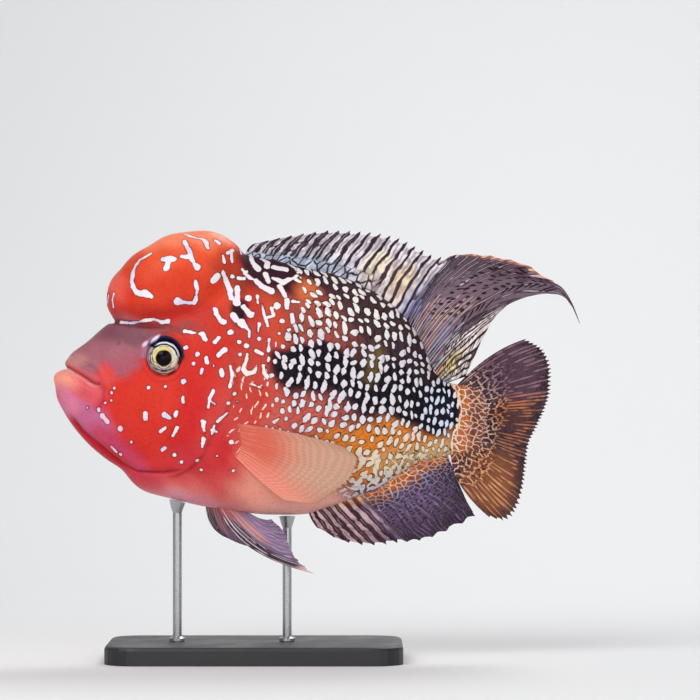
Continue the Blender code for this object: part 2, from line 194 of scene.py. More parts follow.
def loft_torso(bm, rings=150, sides=96):
    """The body from chin to tail stalk, as rings bridged one to the next."""
    loops = []
    angles = np.arange(sides) * 2 * math.pi / sides
    for share in np.linspace(0, 1, rings):
        u = TORSO[0, 0] + (TORSO[-1, 0] - TORSO[0, 0]) * share**1.35
        verts = [bm.verts.new(p) for p in place(torso_ring(u, angles))]
        loops.append([bm.edges.new((verts[k - 1], verts[k])) for k in range(sides)])
    for near, far in zip(loops, loops[1:]):
        bmesh.ops.bridge_loops(bm, edges=near + far)
    bmesh.ops.holes_fill(bm, edges=loops[0] + loops[-1], sides=sides)


def grow_hump(bm):
    """The forehead hump, a ball drawn out to its own outline."""
    ball = bmesh.ops.create_uvsphere(bm, u_segments=96, v_segments=64, radius=1)["verts"]
    along, up, side = np.array([v.co.normalized() for v in ball]).T
    angle = np.degrees(np.arctan2(up, along)) % 360
    radius = through(HUMP_OUTLINE, angle)[:, 0] * np.hypot(along, up) ** HUMP_FULLNESS
    turn = np.radians(angle)
    u, v = HUMP_CENTRE[0] + radius * np.cos(turn), HUMP_CENTRE[1] + radius * np.sin(turn)
    for vert, co in zip(ball, place(np.column_stack([u, side * HUMP_HALF_WIDTH, v]))):
        vert.co = co


def relax(bm, verts, times):
    for _ in range(times):
        bmesh.ops.smooth_vert(bm, verts=verts, factor=0.5, use_axis_x=True, use_axis_y=True, use_axis_z=True)


def split_faces(bm, faces):
    """Splits each of the faces into four."""
    edges = list(dict.fromkeys(e for f in faces for e in f.edges))
    bmesh.ops.subdivide_edges(bm, edges=edges, cuts=1, use_grid_fill=True)


def grown_together(name, bm):
    """Remeshes overlapping solids into one skin of even squares, finer on the head."""
    rough = make_object(name, bm)
    remesh = rough.modifiers.new("grow", "REMESH")
    remesh.mode, remesh.voxel_size = "VOXEL", SKIN_VOXEL
    graph = bpy.context.evaluated_depsgraph_get()
    bm = bmesh.new()
    bm.from_mesh(rough.evaluated_get(graph).to_mesh())
    bpy.data.objects.remove(rough)
    relax(bm, bm.verts, 4)
    split_faces(bm, [f for f in bm.faces if f.calc_center_median().x < HEAD_END_X])
    relax(bm, [v for v in bm.verts if v.co.x < HEAD_END_X], 3)
    return make_object(name, bm)


def line_distance(points, line):
    """How far each (u, v) point lies from a line, above 0 on the left of its run, and its share along it."""
    line = np.array(line, float)
    best = np.full(len(points), np.inf)
    sign = np.ones(len(points))
    along = np.zeros(len(points))
    spans = np.linalg.norm(np.diff(line, axis=0), axis=1)
    total, gone = spans.sum(), 0.0
    for a, b, span in zip(line, line[1:], spans):
        run = (b - a) / span
        offset = points - a
        t = np.clip(offset @ run, 0, span)
        away = offset - t[:, None] * run
        distance = np.hypot(*away.T)
        left = run[0] * offset[:, 1] - run[1] * offset[:, 0]
        nearer = distance < best
        best[nearer], sign[nearer] = distance[nearer], np.sign(left[nearer])
        along[nearer] = (gone + t[nearer]) / total
        gone += span
    return best * sign, along


# Lines of the head that its folds and colours follow, as (u, v)
MOUTH = [(-6, 147), (6, 148), (14, 149), (28, 141), (40, 133), (49, 131)]
LIP_FOLD = [(14, 163), (24, 156), (38, 149), (46, 139), (50, 129)]
LIP_CORNER = [(46, 134), (50, 126), (50, 116), (46, 109), (38, 105)]
JAW_FOLD = [
    (14, 107), (22, 96), (30, 86), (38, 79), (48, 71), (60, 61), (72, 52), (84, 46), (110, 45), (136, 49),
]
GILL_EDGE = [
    (168, 170), (178, 158), (183, 144), (181, 122), (171, 102), (158, 80), (149, 61), (135, 47), (112, 37),
]
CHEEK_LINE = [(139, 150), (135, 132), (130, 108), (120, 82), (104, 61)]
BROW = [(50, 196), (66, 194), (92, 191), (112, 190), (126, 186)]
NOSTRIL = (64, 173)


def worked(points):
    """How far each skin point moves along its normal, in units."""
    u, w, v = points.T
    side = np.column_stack([u, v])
    flat = smooth(np.abs(w), 3, 14)
    push = -smooth(u, 150, 178) * COAT_DEPTH / UNIT
    # Eye: a well that the eyeball sits in, with a low ring of skin and a faint furrow round it.
    eye = np.hypot(u - EYE_CENTRE[0], (v - EYE_CENTRE[2]) / 1.07)
    push += flat * (1.3 * bell(eye - 20.5, 2.6) - 9.5 * fall(eye, 15.6, 18.6) - 0.5 * bell(eye - 25, 2.2))
    # Folds: the line, where it shows, the shares of it where it starts, is full, fades and ends, and the
    # (height, offset, width) of each swell or furrow along it. The mouth is a cleft between a thin and a
    # thick lip, the cheek hangs a little over the throat, and the hump's front rolls over the snout.
    for line, where, (start, full, fading, end), swells in (
        (MOUTH, fall(u, 50, 54), (-1, 0, 0.86, 1), [(-4.2, 0, 1.35), (1.5, 5, 3), (2.6, -9, 6)]),
        (LIP_FOLD, flat, (-1, 0, 1, 2), [(-1.2, 0, 1.3), (0.8, 3.5, 3)]),
        (LIP_CORNER, flat, (0, 0.2, 0.7, 1), [(-1.3, 0, 1.5), (1, -5, 4)]),
        (JAW_FOLD, flat, (0, 0.15, 0.85, 1), [(-1.9, -1.5, 1.8), (1.2, 5, 5)]),
        (CHEEK_LINE, flat, (0, 0.2, 0.8, 1), [(-0.7, 0, 1.9)]),
        (BROW, 1, (-1, 0, 0.55, 1), [(-3.2, 0, 2)]),
    ):
        d, along = line_distance(side, line)
        shown = where * smooth(along, start, full) * fall(along, fading, end)
        for height, offset, width in swells:
            push += shown * height * bell(d - offset, width)
    # Gill cover: its edge stands proud, and the skin dips behind it.
    d, along = line_distance(side, GILL_EDGE)
    before, behind = np.minimum(d, 0), np.maximum(d, 0)
    proud = np.exp(before / 9) * (1 - np.exp(before / 0.8))
    proud -= 0.9 * np.exp(-behind / 4) * (1 - np.exp(-behind / 0.8))
    push += flat * smooth(along, 0, 0.12) * fall(along, 0.9, 1) * 2.1 * proud
    # Nostril: a small pit with a raised rim.
    hole = np.hypot(u - NOSTRIL[0], v - NOSTRIL[1])
    push += flat * (0.8 * bell(hole - 3.2, 1.2) - 3 * bell(hole, 1.5))
    # Soft unevenness of flesh under the skin.
    lumps = np.sin(u / 13 + 1.3 * np.sin(v / 17)) * np.sin(v / 15 + np.sin(w / 11))
    lumps += np.sin(u / 7.3 + v / 9.1 + w / 8)
    return push + 0.35 * lumps * fall(u, 140, 180)


# White strokes and spots on head, hump and nape, each a line of (u, v, radius) as the left side shows it.
STROKES = [
    ((96, 263, 2), (91, 260, 2), (84, 256, 2), (80, 250, 2), (77, 243, 2.5), (76, 235, 2.5),
     (78, 228, 2.5), (81, 224, 3), (84, 222, 3.5), (90, 223, 4), (96, 220, 2)),
    ((108, 257, 3), (114, 258, 3.5), (118, 257, 3)), ((114, 257, 3), (112, 251, 2.5), (111, 248, 3)),
    ((129, 275, 2.5), (132, 269, 2.5), (135, 264, 2.5), (136, 258, 2.5), (139, 252, 2.5),
     (142, 249, 3.5)), ((135, 260, 2), (131, 259, 2), (126, 260, 2)),
    ((140, 235, 2), (142, 226, 2), (141, 220, 2), (139, 213, 2.5), (134, 213, 2), (128, 214, 2),
     (122, 215, 4)),
    ((130, 282, 1.5), (135, 280, 1.5), (142, 278, 1.5), (148, 277, 2), (151, 274, 2.5), (153, 268, 1.5)),
    ((160, 276, 2.5), (164, 273, 2.5)), ((172, 263, 2), (178, 266, 2)), ((176, 264, 2), (177, 255, 2)),
    ((168, 260, 2), (169, 254, 2)), ((185, 266, 1.5), (186, 262, 1.5)), ((158, 236, 4), (162, 240, 4)),
    ((168, 244, 2.5), (170, 237, 3), (172, 232, 3), (175, 226, 3), (176, 218, 2.5)), ((177, 240, 3),),
    ((182, 229, 3), (182, 221, 3), (182, 213, 4.5)), ((193, 218, 3.5),),
    ((188, 209, 3.5), (192, 205, 3.5), (195, 201, 4), (198, 203, 2)), ((178, 201, 4), (181, 196, 3)),
    ((186, 193, 4.5), (191, 189, 2), (194, 185, 1.5), (194, 179, 1)),
    ((160, 207, 2.5), (162, 201, 2.5), (165, 196, 2.5), (169, 194, 2.5)),
    ((66, 194, 1), (75, 193, 1.5), (83, 194, 1.5), (91, 196, 1.5), (99, 197, 1.5), (107, 194, 2),
     (113, 195, 2)), ((53, 220, 1.5), (52, 213, 1.5)), ((58, 222, 1.5), (57, 216, 1), (58, 209, 1.5)),
    ((129, 185, 2), (135, 184, 2), (140, 183, 1.5)), ((144, 182, 1.5), (148, 182, 2.5), (150, 177, 2.5)),
    ((163, 178, 2), (160, 174, 2)), ((175, 184, 3.5),), ((131, 169, 2.5),), ((142, 162, 3),),
    ((151, 158, 2.5), (152, 153, 2.5)), ((138, 152, 2.5),), ((169, 166, 3.5), (164, 161, 3)),
    ((166, 146, 2.5), (167, 141, 2.5)),
    ((175, 150, 1.6), (177, 143, 1.3), (176, 137, 1.3), (175, 129, 1.8)), ((184, 174, 2.5),),
    ((191, 170, 2.5),), ((185, 162, 2.5),), ((147, 147, 1.5), (146, 143, 1)), ((158, 150, 1),),
    ((128, 134, 3.5),), ((93, 128, 2),), ((110, 129, 2),), ((128, 119, 1.5), (128, 114, 1.5)),
    ((90, 102, 2.5), (90, 97, 2.5)), ((109, 101, 3), (114, 98, 3)), ((121, 104, 2), (120, 100, 2)),
    ((105, 84, 2), (110, 88, 1.5)), ((122, 88, 1), (120, 84, 1.5), (118, 80, 1)), ((119, 61, 2.5),),
    ((107, 66, 1.5), (110, 68, 1.5)), ((158, 125, 1.5), (155, 118, 2), (153, 109, 1.5)),
    ((155, 115, 1.5), (159, 112, 1)), ((148, 94, 2.5), (148, 90, 2), (149, 84, 1)),
    ((148, 77, 2.5), (147, 69, 1.5)), ((159, 90, 1.5), (157, 82, 1.5)), ((156, 86, 1), (161, 84, 1)),
    ((142, 55, 1.5),), ((146, 46, 1.5),), ((126, 54, 1),), ((162, 60, 1),), ((178, 45, 1),),
    ((176, 74, 2),), ((182, 114, 1.5),), ((173, 113, 1.5),), ((179, 122, 2),), ((59, 128, 1.5),),
    ((56, 123, 1.5),), ((56, 115, 1.5),), ((50, 113, 1),), ((32, 108, 2),), ((43, 106, 2.5),),
    ((47, 100, 3), (52, 94, 3)), ((65, 87, 3),), ((76, 74, 2),), ((56, 69, 1.5), (61, 64, 1.5)),
    ((65, 61, 2),), ((162, 94, 0.5), (167, 99, 1), (172, 103, 0.5)),
    ((192, 162, 1), (191, 155, 1.5), (188, 147, 2.5), (192, 142, 3), (199, 144, 2), (201, 148, 1.5)),
    ((201, 165, 2), (207, 162, 2)), ((208, 150, 1.5), (209, 143, 2), (212, 139, 2)),
    ((196, 132, 1.5), (206, 128, 1.5)), ((183, 238, 2), (189, 238, 2)),
    ((187, 247, 1.5), (191, 241, 2), (197, 237, 1.5)), ((201, 235, 3), (208, 229, 2.5), (216, 225, 4)),
    ((210, 242, 3.5), (213, 235, 3)), ((218, 238, 2), (228, 234, 4), (238, 238, 2), (245, 234, 1.5)),
    ((238, 238, 2), (242, 241, 1)), ((194, 263, 2), (198, 253, 2.5), (203, 247, 4)),
    ((207, 257, 3), (212, 254, 3), (212, 249, 3.5)), ((218, 249, 3), (230, 247, 4)),
    ((215, 257, 1.5), (224, 256, 1.5), (230, 254, 1.5), (240, 248, 1.5)),
    ((224, 230, 2.5), (230, 220, 2.5)), ((222, 210, 4),), ((232, 216, 2.5), (232, 208, 2.5)),
    ((238, 215, 2), (244, 214, 2)), ((227, 195, 3),), ((237, 201, 2.5), (238, 194, 2.5)),
    ((202, 220, 1.5), (203, 213, 1.5)), ((207, 211, 1), (210, 198, 1.5), (213, 190, 1)),
    ((216, 208, 1), (219, 200, 1.5), (210, 198, 1)), ((234, 186, 3),), ((224, 183, 1.5),),
    ((214, 177, 1), (213, 165, 1)), ((204, 177, 2),), ((204, 192, 1), (203, 185, 1)),
    ((192, 245, 1), (189, 242, 1)),
]
STROKE_STEP = 0.6
STROKE_SCALE, THINNEST_STROKE = 0.86, 1.3
LAST_STROKE_U = 262
MARK_REACH = 9.0  # distances from a stroke's edge aren't told apart beyond this
VIEW_AT = ((295 - MIDDLE_U) * UNIT, -1.8, 166 * UNIT + KEEL_HEIGHT)  # where the strokes are laid on from


def stroke_samples(tree):
    """Close-set points along the strokes on both sides of the skin, each with its radius."""
    spots, radii = [], []
    for side in (1, -1):
        start = Vector((VIEW_AT[0], VIEW_AT[1] * side, VIEW_AT[2]))
        for line in STROKES:
            for (u0, v0, r0), (u1, v1, r1) in zip(line, line[1:] or line):
                steps = max(2, int(math.hypot(u1 - u0, v1 - v0) / STROKE_STEP))
                for t in np.linspace(0, 1, steps):
                    u, v = u0 + (u1 - u0) * t, v0 + (v1 - v0) * t
                    if side < 0:
                        # The far side's strokes wander a little from the near side's.
                        u, v = u + 5 * math.sin(v / 23 + 1), v + 4 * math.sin(u / 19)
                    aim = Vector(place([(u, 0, v)])[0]) - start
                    hit = tree.ray_cast(start, aim.normalized())[0]
                    if hit is not None:
                        spots.append(hit)
                        radii.append(max(THINNEST_STROKE, (r0 + (r1 - r0) * t) * STROKE_SCALE))
    nearby = KDTree(len(spots))
    for i, spot in enumerate(spots):
        nearby.insert(spot, i)
    nearby.balance()
    return nearby, radii


def mark_distance(points):
    """How far each point lies from the edge of the nearest stroke, in units, below 0 inside it."""
    result = np.full(len(points), MARK_REACH)
    for i in np.flatnonzero(drawing(points)[:, 0] < LAST_STROKE_U):
        close = strokes.find_n(points[i], 4)
        result[i] = min([MARK_REACH] + [gap / UNIT - stroke_radii[nearest] for _, nearest, gap in close])
    return result


def girth(points):
    """How far each drawing point lies round the torso from its widest line, above 0 towards the back."""
    stations = np.linspace(TORSO[0, 0], TORSO[-1, 0], 160)
    angles = np.linspace(-math.pi / 2, math.pi / 2, 121)
    table = []
    for station in stations:
        ring = torso_ring(station, angles)
        lengths = np.concatenate([[0], np.cumsum(np.linalg.norm(np.diff(ring, axis=0), axis=1))])
        table.append(lengths - lengths[len(angles) // 2])
    table = np.array(table)
    u, w, v = np.asarray(points).T
    u = np.clip(u, TORSO[0, 0], TORSO[-1, 0])
    back, belly, half, widest, back_power, belly_power = through(TORSO, u).T
    up = (v - widest) / np.where(v > widest, back - widest, widest - belly)
    power = np.where(v > widest, back_power, belly_power)
    across = np.clip(np.abs(w) / half, 0, 2) ** (1 / power)
    angle = np.arctan2(up, np.maximum(across, 1e-6))
    column = (u - stations[0]) / (stations[1] - stations[0])
    row = (angle - angles[0]) / (angles[1] - angles[0])
    i = np.clip(column.astype(int), 0, len(stations) - 2)
    j = np.clip(row.astype(int), 0, len(angles) - 2)
    a, b = column - i, row - j
    near = table[i, j] * (1 - b) + table[i, j + 1] * b
    far = table[i + 1, j] * (1 - b) + table[i + 1, j + 1] * b
    return near * (1 - a) + far * a


def set_attribute(mesh, name, values, kind="FLOAT"):
    layer = mesh.attributes.new(name, kind, "POINT")
    key = {"FLOAT": "value", "FLOAT_VECTOR": "vector", "FLOAT_COLOR": "color"}[kind]
    if kind == "FLOAT_COLOR":
        values = np.column_stack([values, np.ones(len(values))])
    layer.data.foreach_set(key, np.ascontiguousarray(values, dtype=np.float32).ravel())


NEAR_STROKE, THIN_STROKE = 2.8, 1.4


def finer_near_strokes(skinned):
    """Splits the squares near the strokes. The head's are small, so there only thin strokes need it."""
    bm = bmesh.new()
    bm.from_mesh(skinned.data)
    points = read(skinned.data)
    split = mark_distance(points) < NEAR_STROKE
    for i in np.flatnonzero(split & (points[:, 0] < HEAD_END_X)):
        split[i] = stroke_radii[strokes.find(points[i])[1]] < THIN_STROKE
    split_faces(bm, [f for f in bm.faces if any(split[v.index] for v in f.verts)])
    bm.to_mesh(skinned.data)
    bm.free()
    skinned.data.shade_smooth()


shape = bmesh.new()
loft_torso(shape)
grow_hump(shape)
skin = grown_together("skin", shape)
rough_points = read(skin.data)
moves = worked(drawing(rough_points))
write(skin.data, rough_points + read(skin.data, "normal") * moves[:, None] * UNIT)
skin_tree = BVHTree.FromPolygons(
    [v.co.copy() for v in skin.data.vertices], [tuple(p.vertices) for p in skin.data.polygons]
)
strokes, stroke_radii = stroke_samples(skin_tree)
finer_near_strokes(skin)


def linear(colour):
    """An sRGB colour of 0 to 255 in linear light."""
    c = np.array(colour, float) / 255
    return np.where(c <= 0.04045, c / 12.92, ((c + 0.055) / 1.055) ** 2.4)


def plain(colour, count):
    return np.tile(linear(colour), (count, 1))


def tint_towards(colours, colour, amount):
    """Moves each of the colours towards one colour, by its own amount."""
    colours += (linear(colour) - colours) * amount[:, None]


def blend_patches(points, colours, patches):
    """Lays soft ovals over colours: (colour, u, v, half-length, half-height, tilt in degrees, softness)."""
    u, v = points.T
    for colour, at_u, at_v, half_u, half_v, tilt, soft in patches:
        turn = math.radians(tilt)
        du, dv = u - at_u, v - at_v
        along = (du * math.cos(turn) + dv * math.sin(turn)) / half_u
        across = (-du * math.sin(turn) + dv * math.cos(turn)) / half_v
        tint_towards(colours, colour, fall(np.hypot(along, across), 1 - soft, 1 + soft))
    return colours


HEAD_PATCHES = [
    ((206, 56, 30), 128, 238, 78, 60, 0, 0.25),
    # The hump's top is painted lighter, partly its own brighter orange and partly a painted highlight, palest
    # along the crest.
    ((228, 84, 46), 126, 270, 54, 24, 0, 0.8),
    ((246, 128, 92), 122, 283, 62, 15, 0, 0.5),
    ((228, 92, 76), 60, 232, 10, 24, 0, 0.9),
    ((184, 38, 30), 120, 202, 70, 10, 0, 0.9),
    ((208, 48, 34), 96, 120, 44, 34, 0, 0.9),
    ((198, 34, 32), 140, 90, 18, 42, -12, 0.8),
    ((150, 56, 54), 104, 186, 48, 7, 0, 0.5),
    ((156, 92, 104), 50, 166, 50, 26, 24, 0.3),
    ((166, 84, 100), 64, 146, 22, 12, 20, 0.5),
    ((122, 72, 84), 74, 181, 30, 10, 6, 0.5),
    ((186, 126, 122), 16, 156, 13, 10, 30, 0.6),
    ((216, 70, 64), 55, 140, 12, 7, -45, 0.8),
    ((214, 84, 92), 27, 130, 25, 17, -20, 0.3),
    ((240, 148, 130), 8, 137, 16, 12, -10, 0.6),
    ((188, 98, 134), 34, 100, 32, 13, -42, 0.5),
    ((188, 60, 90), 66, 68, 34, 9, -38, 0.6),
    ((212, 116, 144), 12, 116, 12, 12, -42, 0.8),
    ((204, 54, 74), 96, 30, 54, 17, -8, 0.4),
    # The throat's pink, painted lighter to offset the shade under the head.
    ((226, 106, 102), 140, 22, 46, 20, 0, 0.7),
    ((196, 62, 58), 178, 92, 24, 40, 0, 0.6),
    # The breast's pale pink, painted lighter to offset the shade underneath.
    ((216, 114, 106), 198, 28, 30, 30, 20, 0.9),
    ((204, 70, 66), 168, 50, 24, 20, 0, 0.8),
    ((190, 48, 54), 134, 54, 26, 17, 0, 0.8),
    # A pale lilac-pink lower edge, painted lighter to offset the shade where the skin faces down.
    ((232, 146, 158), 126, 10, 60, 15, -6, 0.5),
    ((186, 60, 50), 196, 150, 24, 70, 0, 0.6),
    ((194, 42, 44), 166, 70, 12, 22, -20, 0.7),
    ((40, 14, 24), 187, 203, 8, 14, 24, 0.4),
    ((184, 58, 38), 172, 248, 9, 16, 30, 0.7),
    ((62, 26, 34), 204, 248, 10, 18, 40, 0.3),
    ((150, 52, 34), 186, 232, 10, 12, 0, 0.6),
]
TRUNK_PATCHES = [
    ((66, 44, 50), 310, 214, 90, 44, -20, 0.6),
    ((160, 72, 60), 252, 192, 46, 28, -24, 0.5),
    ((196, 70, 42), 214, 196, 20, 30, 10, 0.6),
    ((52, 24, 34), 222, 244, 50, 17, -12, 0.35),
    ((208, 100, 56), 250, 224, 10, 12, 30, 0.7),
    ((196, 72, 64), 204, 120, 24, 70, 0, 0.6),
    ((192, 84, 74), 246, 98, 46, 24, -8, 0.6),
    # The pale belly and the orange and ochre behind it are the fish's own colours, painted lighter to offset
    # the shade on the underside.
    ((242, 156, 134), 224, 22, 64, 38, 0, 0.6),
    ((220, 120, 40), 318, 66, 76, 30, 8, 0.35),
    ((214, 164, 104), 372, 56, 50, 18, 10, 0.5),
    ((244, 172, 160), 250, 7, 70, 14, 8, 0.6),
    ((16, 10, 20), 262, 148, 50, 23, -12, 0.16),
    ((14, 10, 20), 344, 120, 57, 25, -20, 0.18),
    ((10, 10, 26), 382, 106, 24, 25, 0, 0.14),
    ((112, 88, 44), 318, 153, 7, 15, 0, 1.0),
]
PEARL_PATCHES = [
    ((240, 200, 176), 200, 110, 20, 60, 0, 0.6),
    ((234, 214, 184), 312, 60, 90, 24, 6, 0.5),
    ((206, 212, 226), 388, 106, 26, 28, 0, 0.5),
    ((240, 232, 224), 290, 214, 70, 30, -20, 0.5),
    ((232, 180, 158), 226, 34, 60, 34, 0, 0.5),
    ((220, 130, 176), 50, 86, 50, 34, -30, 0.4),
]
EYELID_SHEENS = [
    ((228, 212, 230), 101.5, 177, 5.5, 1.7, 42, 0.5),
    ((226, 196, 218), 91.5, 172, 3.5, 1.7, 46, 0.5),
]
# Rows of scales: how far apart along the body and round it, and how they bend back and climb
ROW_PITCH = (8.5, 22.0)
ROW_CURVE = 0.0022
ROW_SLOPE = 0.2
REAR_FROM, REAR_CROWDING = 320, 0.0042
# By height v: the u where the red head ends, where the pearls begin, and how far the pearls lean forward
HEAD_END = ([20, 60, 110, 150, 200, 230, 262], [186, 196, 216, 212, 212, 196, 184])
PEARLS_FROM = ([20, 60, 110, 150, 180, 200, 240, 262], [200, 204, 206, 212, 227, 245, 248, 238])
PEARL_LEAN = ([55, 90, 120, 165, 185, 215, 245], [-0.6, -0.5, -0.28, -0.28, -0.12, 0, 0.14])


def crowded(u):
    """How far along the rows of scales u lies. The rows' steps get shorter towards the tail."""
    return u + REAR_CROWDING * np.maximum(0, u - REAR_FROM) ** 2


def uncrowded(along):
    past = np.maximum(0, along - REAR_FROM)
    return np.minimum(along, REAR_FROM) + (np.sqrt(1 + 4 * REAR_CROWDING * past) - 1) / (2 * REAR_CROWDING)


def stalk_reach(u, v):
    """How far back a point lies, where the tail stalk's end is round."""
    return u + np.minimum(0.014 * (v - 106) ** 2, 9)


def colour_face(head, seen):
    """Lays the jaw's red rim, lips, cleft and brow, and the skin round the eye, over the head's colours. The
    jaw's crease, the cleft and the brow get painted shade, and the lower lip's edge a painted highlight.
    """
    d, along = line_distance(seen, JAW_FOLD)
    rim = fall(d, -1.4, 0.4) * smooth(d, -24, -16)
    tint_towards(head, (190, 16, 36), rim * smooth(along, 0, 0.12) * fall(along, 0.5, 0.62))
    # Painted shade: a thin dark line along the jaw's crease.
    crease_shade = fall(np.abs(d + 0.6), 0.2, 1.8) * smooth(along, 0.02, 0.1) * fall(along, 0.75, 1)
    tint_towards(head, (112, 14, 30), 0.6 * crease_shade)
    d, along = line_distance(seen, LIP_CORNER)
    tint_towards(head, (176, 44, 66), 0.7 * fall(np.abs(d), 0.5, 2.5) * fall(along, 0.7, 1))
    d, along = line_distance(seen, MOUTH)
    # Painted shade: the mouth's cleft is painted darker than the lips.
    tint_towards(head, (150, 52, 50), fall(np.abs(d), 0.3, 1.5) * fall(along, 0.92, 1))
    # Painted highlight: a pale line along the lower lip's edge.
    lower_lip_highlight = smooth(d, -4.5, -2.5) * fall(d, -1.8, -0.8) * fall(along, 0.8, 1)
    tint_towards(head, (246, 178, 168), 0.5 * lower_lip_highlight)
    upper_lip = smooth(d, 0.8, 1.8) * fall(d, 3, 6) * smooth(along, 0.05, 0.2) * fall(along, 0.45, 0.75)
    tint_towards(head, (206, 98, 80), 0.6 * upper_lip)
    # Painted shade under the brow, where the hump's front rolls over the snout.
    d, along = line_distance(seen, BROW)
    tint_towards(head, (96, 34, 40), 0.75 * fall(np.abs(d + 1), 1, 5) * fall(along, 0.6, 1))
    # The eye has lilac skin in front, and a navy lid with two sheens above.
    u, v = (seen - (EYE_CENTRE[0], EYE_CENTRE[2])).T
    eye = np.hypot(u, v / 1.07)
    turn = np.degrees(np.arctan2(v, u))
    tint_towards(head, (160, 104, 132), 0.8 * fall(np.abs(eye - 20), 2.5, 5) * fall(np.abs(turn - 160), 35, 60))
    tint_towards(head, (30, 26, 52), fall(eye, 20.2, 21.4) * fall(np.abs(turn - 68), 66, 84))
    blend_patches(seen, head, EYELID_SHEENS)


def ground_colours(seen, wavy):
    """The skin's colour under strokes and pearls, with painted highlights on the hump, painted shade on the
    face and an underside painted lighter. wavy are the same (u, v) places shifted a little.
    """
    u, v = seen.T
    head = blend_patches(wavy, plain((200, 42, 34), len(u)), HEAD_PATCHES)
    colour_face(head, seen)
    trunk = blend_patches(wavy, plain((40, 28, 34), len(u)), TRUNK_PATCHES)
    tint_towards(trunk, (196, 100, 44), smooth(stalk_reach(u, v), 403, 407))
    tint_towards(trunk, (92, 52, 46), 0.8 * smooth(u + 2 * np.sin(v / 3.1), 411, 418))
    border = np.interp(v, *HEAD_END)
    blur = 8 + 16 * fall(v, 40, 84)
    behind = smooth(wavy[:, 0], border - blur, border + blur)[:, None]
    return head * (1 - behind) + trunk * behind


def pearl_colours(seen):
    u, v = seen.T
    pearl = blend_patches(seen, plain((220, 212, 217), len(u)), PEARL_PATCHES)
    tint_towards(pearl, (244, 208, 182), smooth(stalk_reach(u, v), 401, 404))
    tint_towards(pearl, (206, 158, 140), 0.8 * smooth(u, 408, 417))
    return pearl


def pearl_sizes(u, v, wavy_u):
    """How big the pearls are: small where they begin, and with slivers in front of them behind the gill."""
    begin = np.interp(v, *PEARLS_FROM)
    upper = smooth(v, 168, 182) * fall(u, 262, 290)
    size = smooth(wavy_u, begin - 24 + 18 * upper, begin + 14 - 10 * upper)
    size *= smooth(wavy_u, begin - 14, begin - 8)
    slivers = 0.6 * smooth(v, 52, 66) * fall(v, 146, 160) * smooth(wavy_u, begin - 32, begin - 26)
    size = np.maximum(size, slivers)
    size *= 1 + 0.07 * smooth(v, 168, 182) - 0.3 * fall(u, 218, 262) * fall(v, 130, 156)
    return size * (1 - 0.8 * fall(np.hypot((u - 226) / 66, (v - 26) / 38), 0.6, 1.2))


def body_markings(mesh, spots):
    """Stores what the flesh paint reads at each vertex. spots are the vertices' places on the bare skin.

    mark is the distance to a stroke. lay is the place on the unrolled body, and its third number the side.
    ground and pearl are colours. stretch is a pearl's half-height. style is its size, its tilt, and how far
    the pearls run together into worms (1) or, on the tail's root, into a net (2).
    """
    points = drawing(spots)
    u, w, v = points.T
    seen = points[:, [0, 2]]
    wavy = np.column_stack([
        u + 3 * np.sin(v / 9 + w / 30) + 2 * np.sin(v / 4.1 + u / 7),
        v + 3 * np.sin(u / 11 + w / 40) + 1.6 * np.sin(u / 4.7 + v / 6),
    ])
    lay = np.column_stack([crowded(u), girth(points) + ROW_SLOPE * (u - MIDDLE_U), np.sign(w)])
    tilt = np.interp(v, *PEARL_LEAN) - np.arctan(2 * ROW_CURVE * lay[:, 1])
    worm = np.maximum(smooth(v, 232, 248) * fall(u, 240, 300), fall(v, 56, 76) * smooth(u, 272, 300))
    worm = np.maximum(worm, 2 * smooth(stalk_reach(u, v), 402, 408))
    banded = smooth(v, 84, 112) * fall(v, 164, 176) * fall(u, 330, 360)
    set_attribute(mesh, "mark", mark_distance(spots))
    set_attribute(mesh, "lay", lay, "FLOAT_VECTOR")
    set_attribute(mesh, "ground", ground_colours(seen, wavy), "FLOAT_COLOR")
    set_attribute(mesh, "pearl", pearl_colours(seen), "FLOAT_COLOR")
    set_attribute(mesh, "stretch", 3.75 + 1.1 * banded - 0.2 * smooth(v, 170, 190))
    set_attribute(mesh, "style", np.column_stack([pearl_sizes(u, v, wavy[:, 0]), tilt, worm]), "FLOAT_VECTOR")


class Term:
    """A value in a material's node tree. Arithmetic on it adds nodes."""

    def __init__(self, paint, socket):
        self.paint, self.socket = paint, socket

    def __add__(self, other):
        return self.paint.math("ADD", self, other)

    def __sub__(self, other):
        return self.paint.math("SUBTRACT", self, other)

    def __rsub__(self, other):
        return self.paint.math("SUBTRACT", other, self)

    def __mul__(self, other):
        return self.paint.math("MULTIPLY", self, other)

    def __truediv__(self, other):
        return self.paint.math("DIVIDE", self, other)

    __radd__, __rmul__ = __add__, __mul__


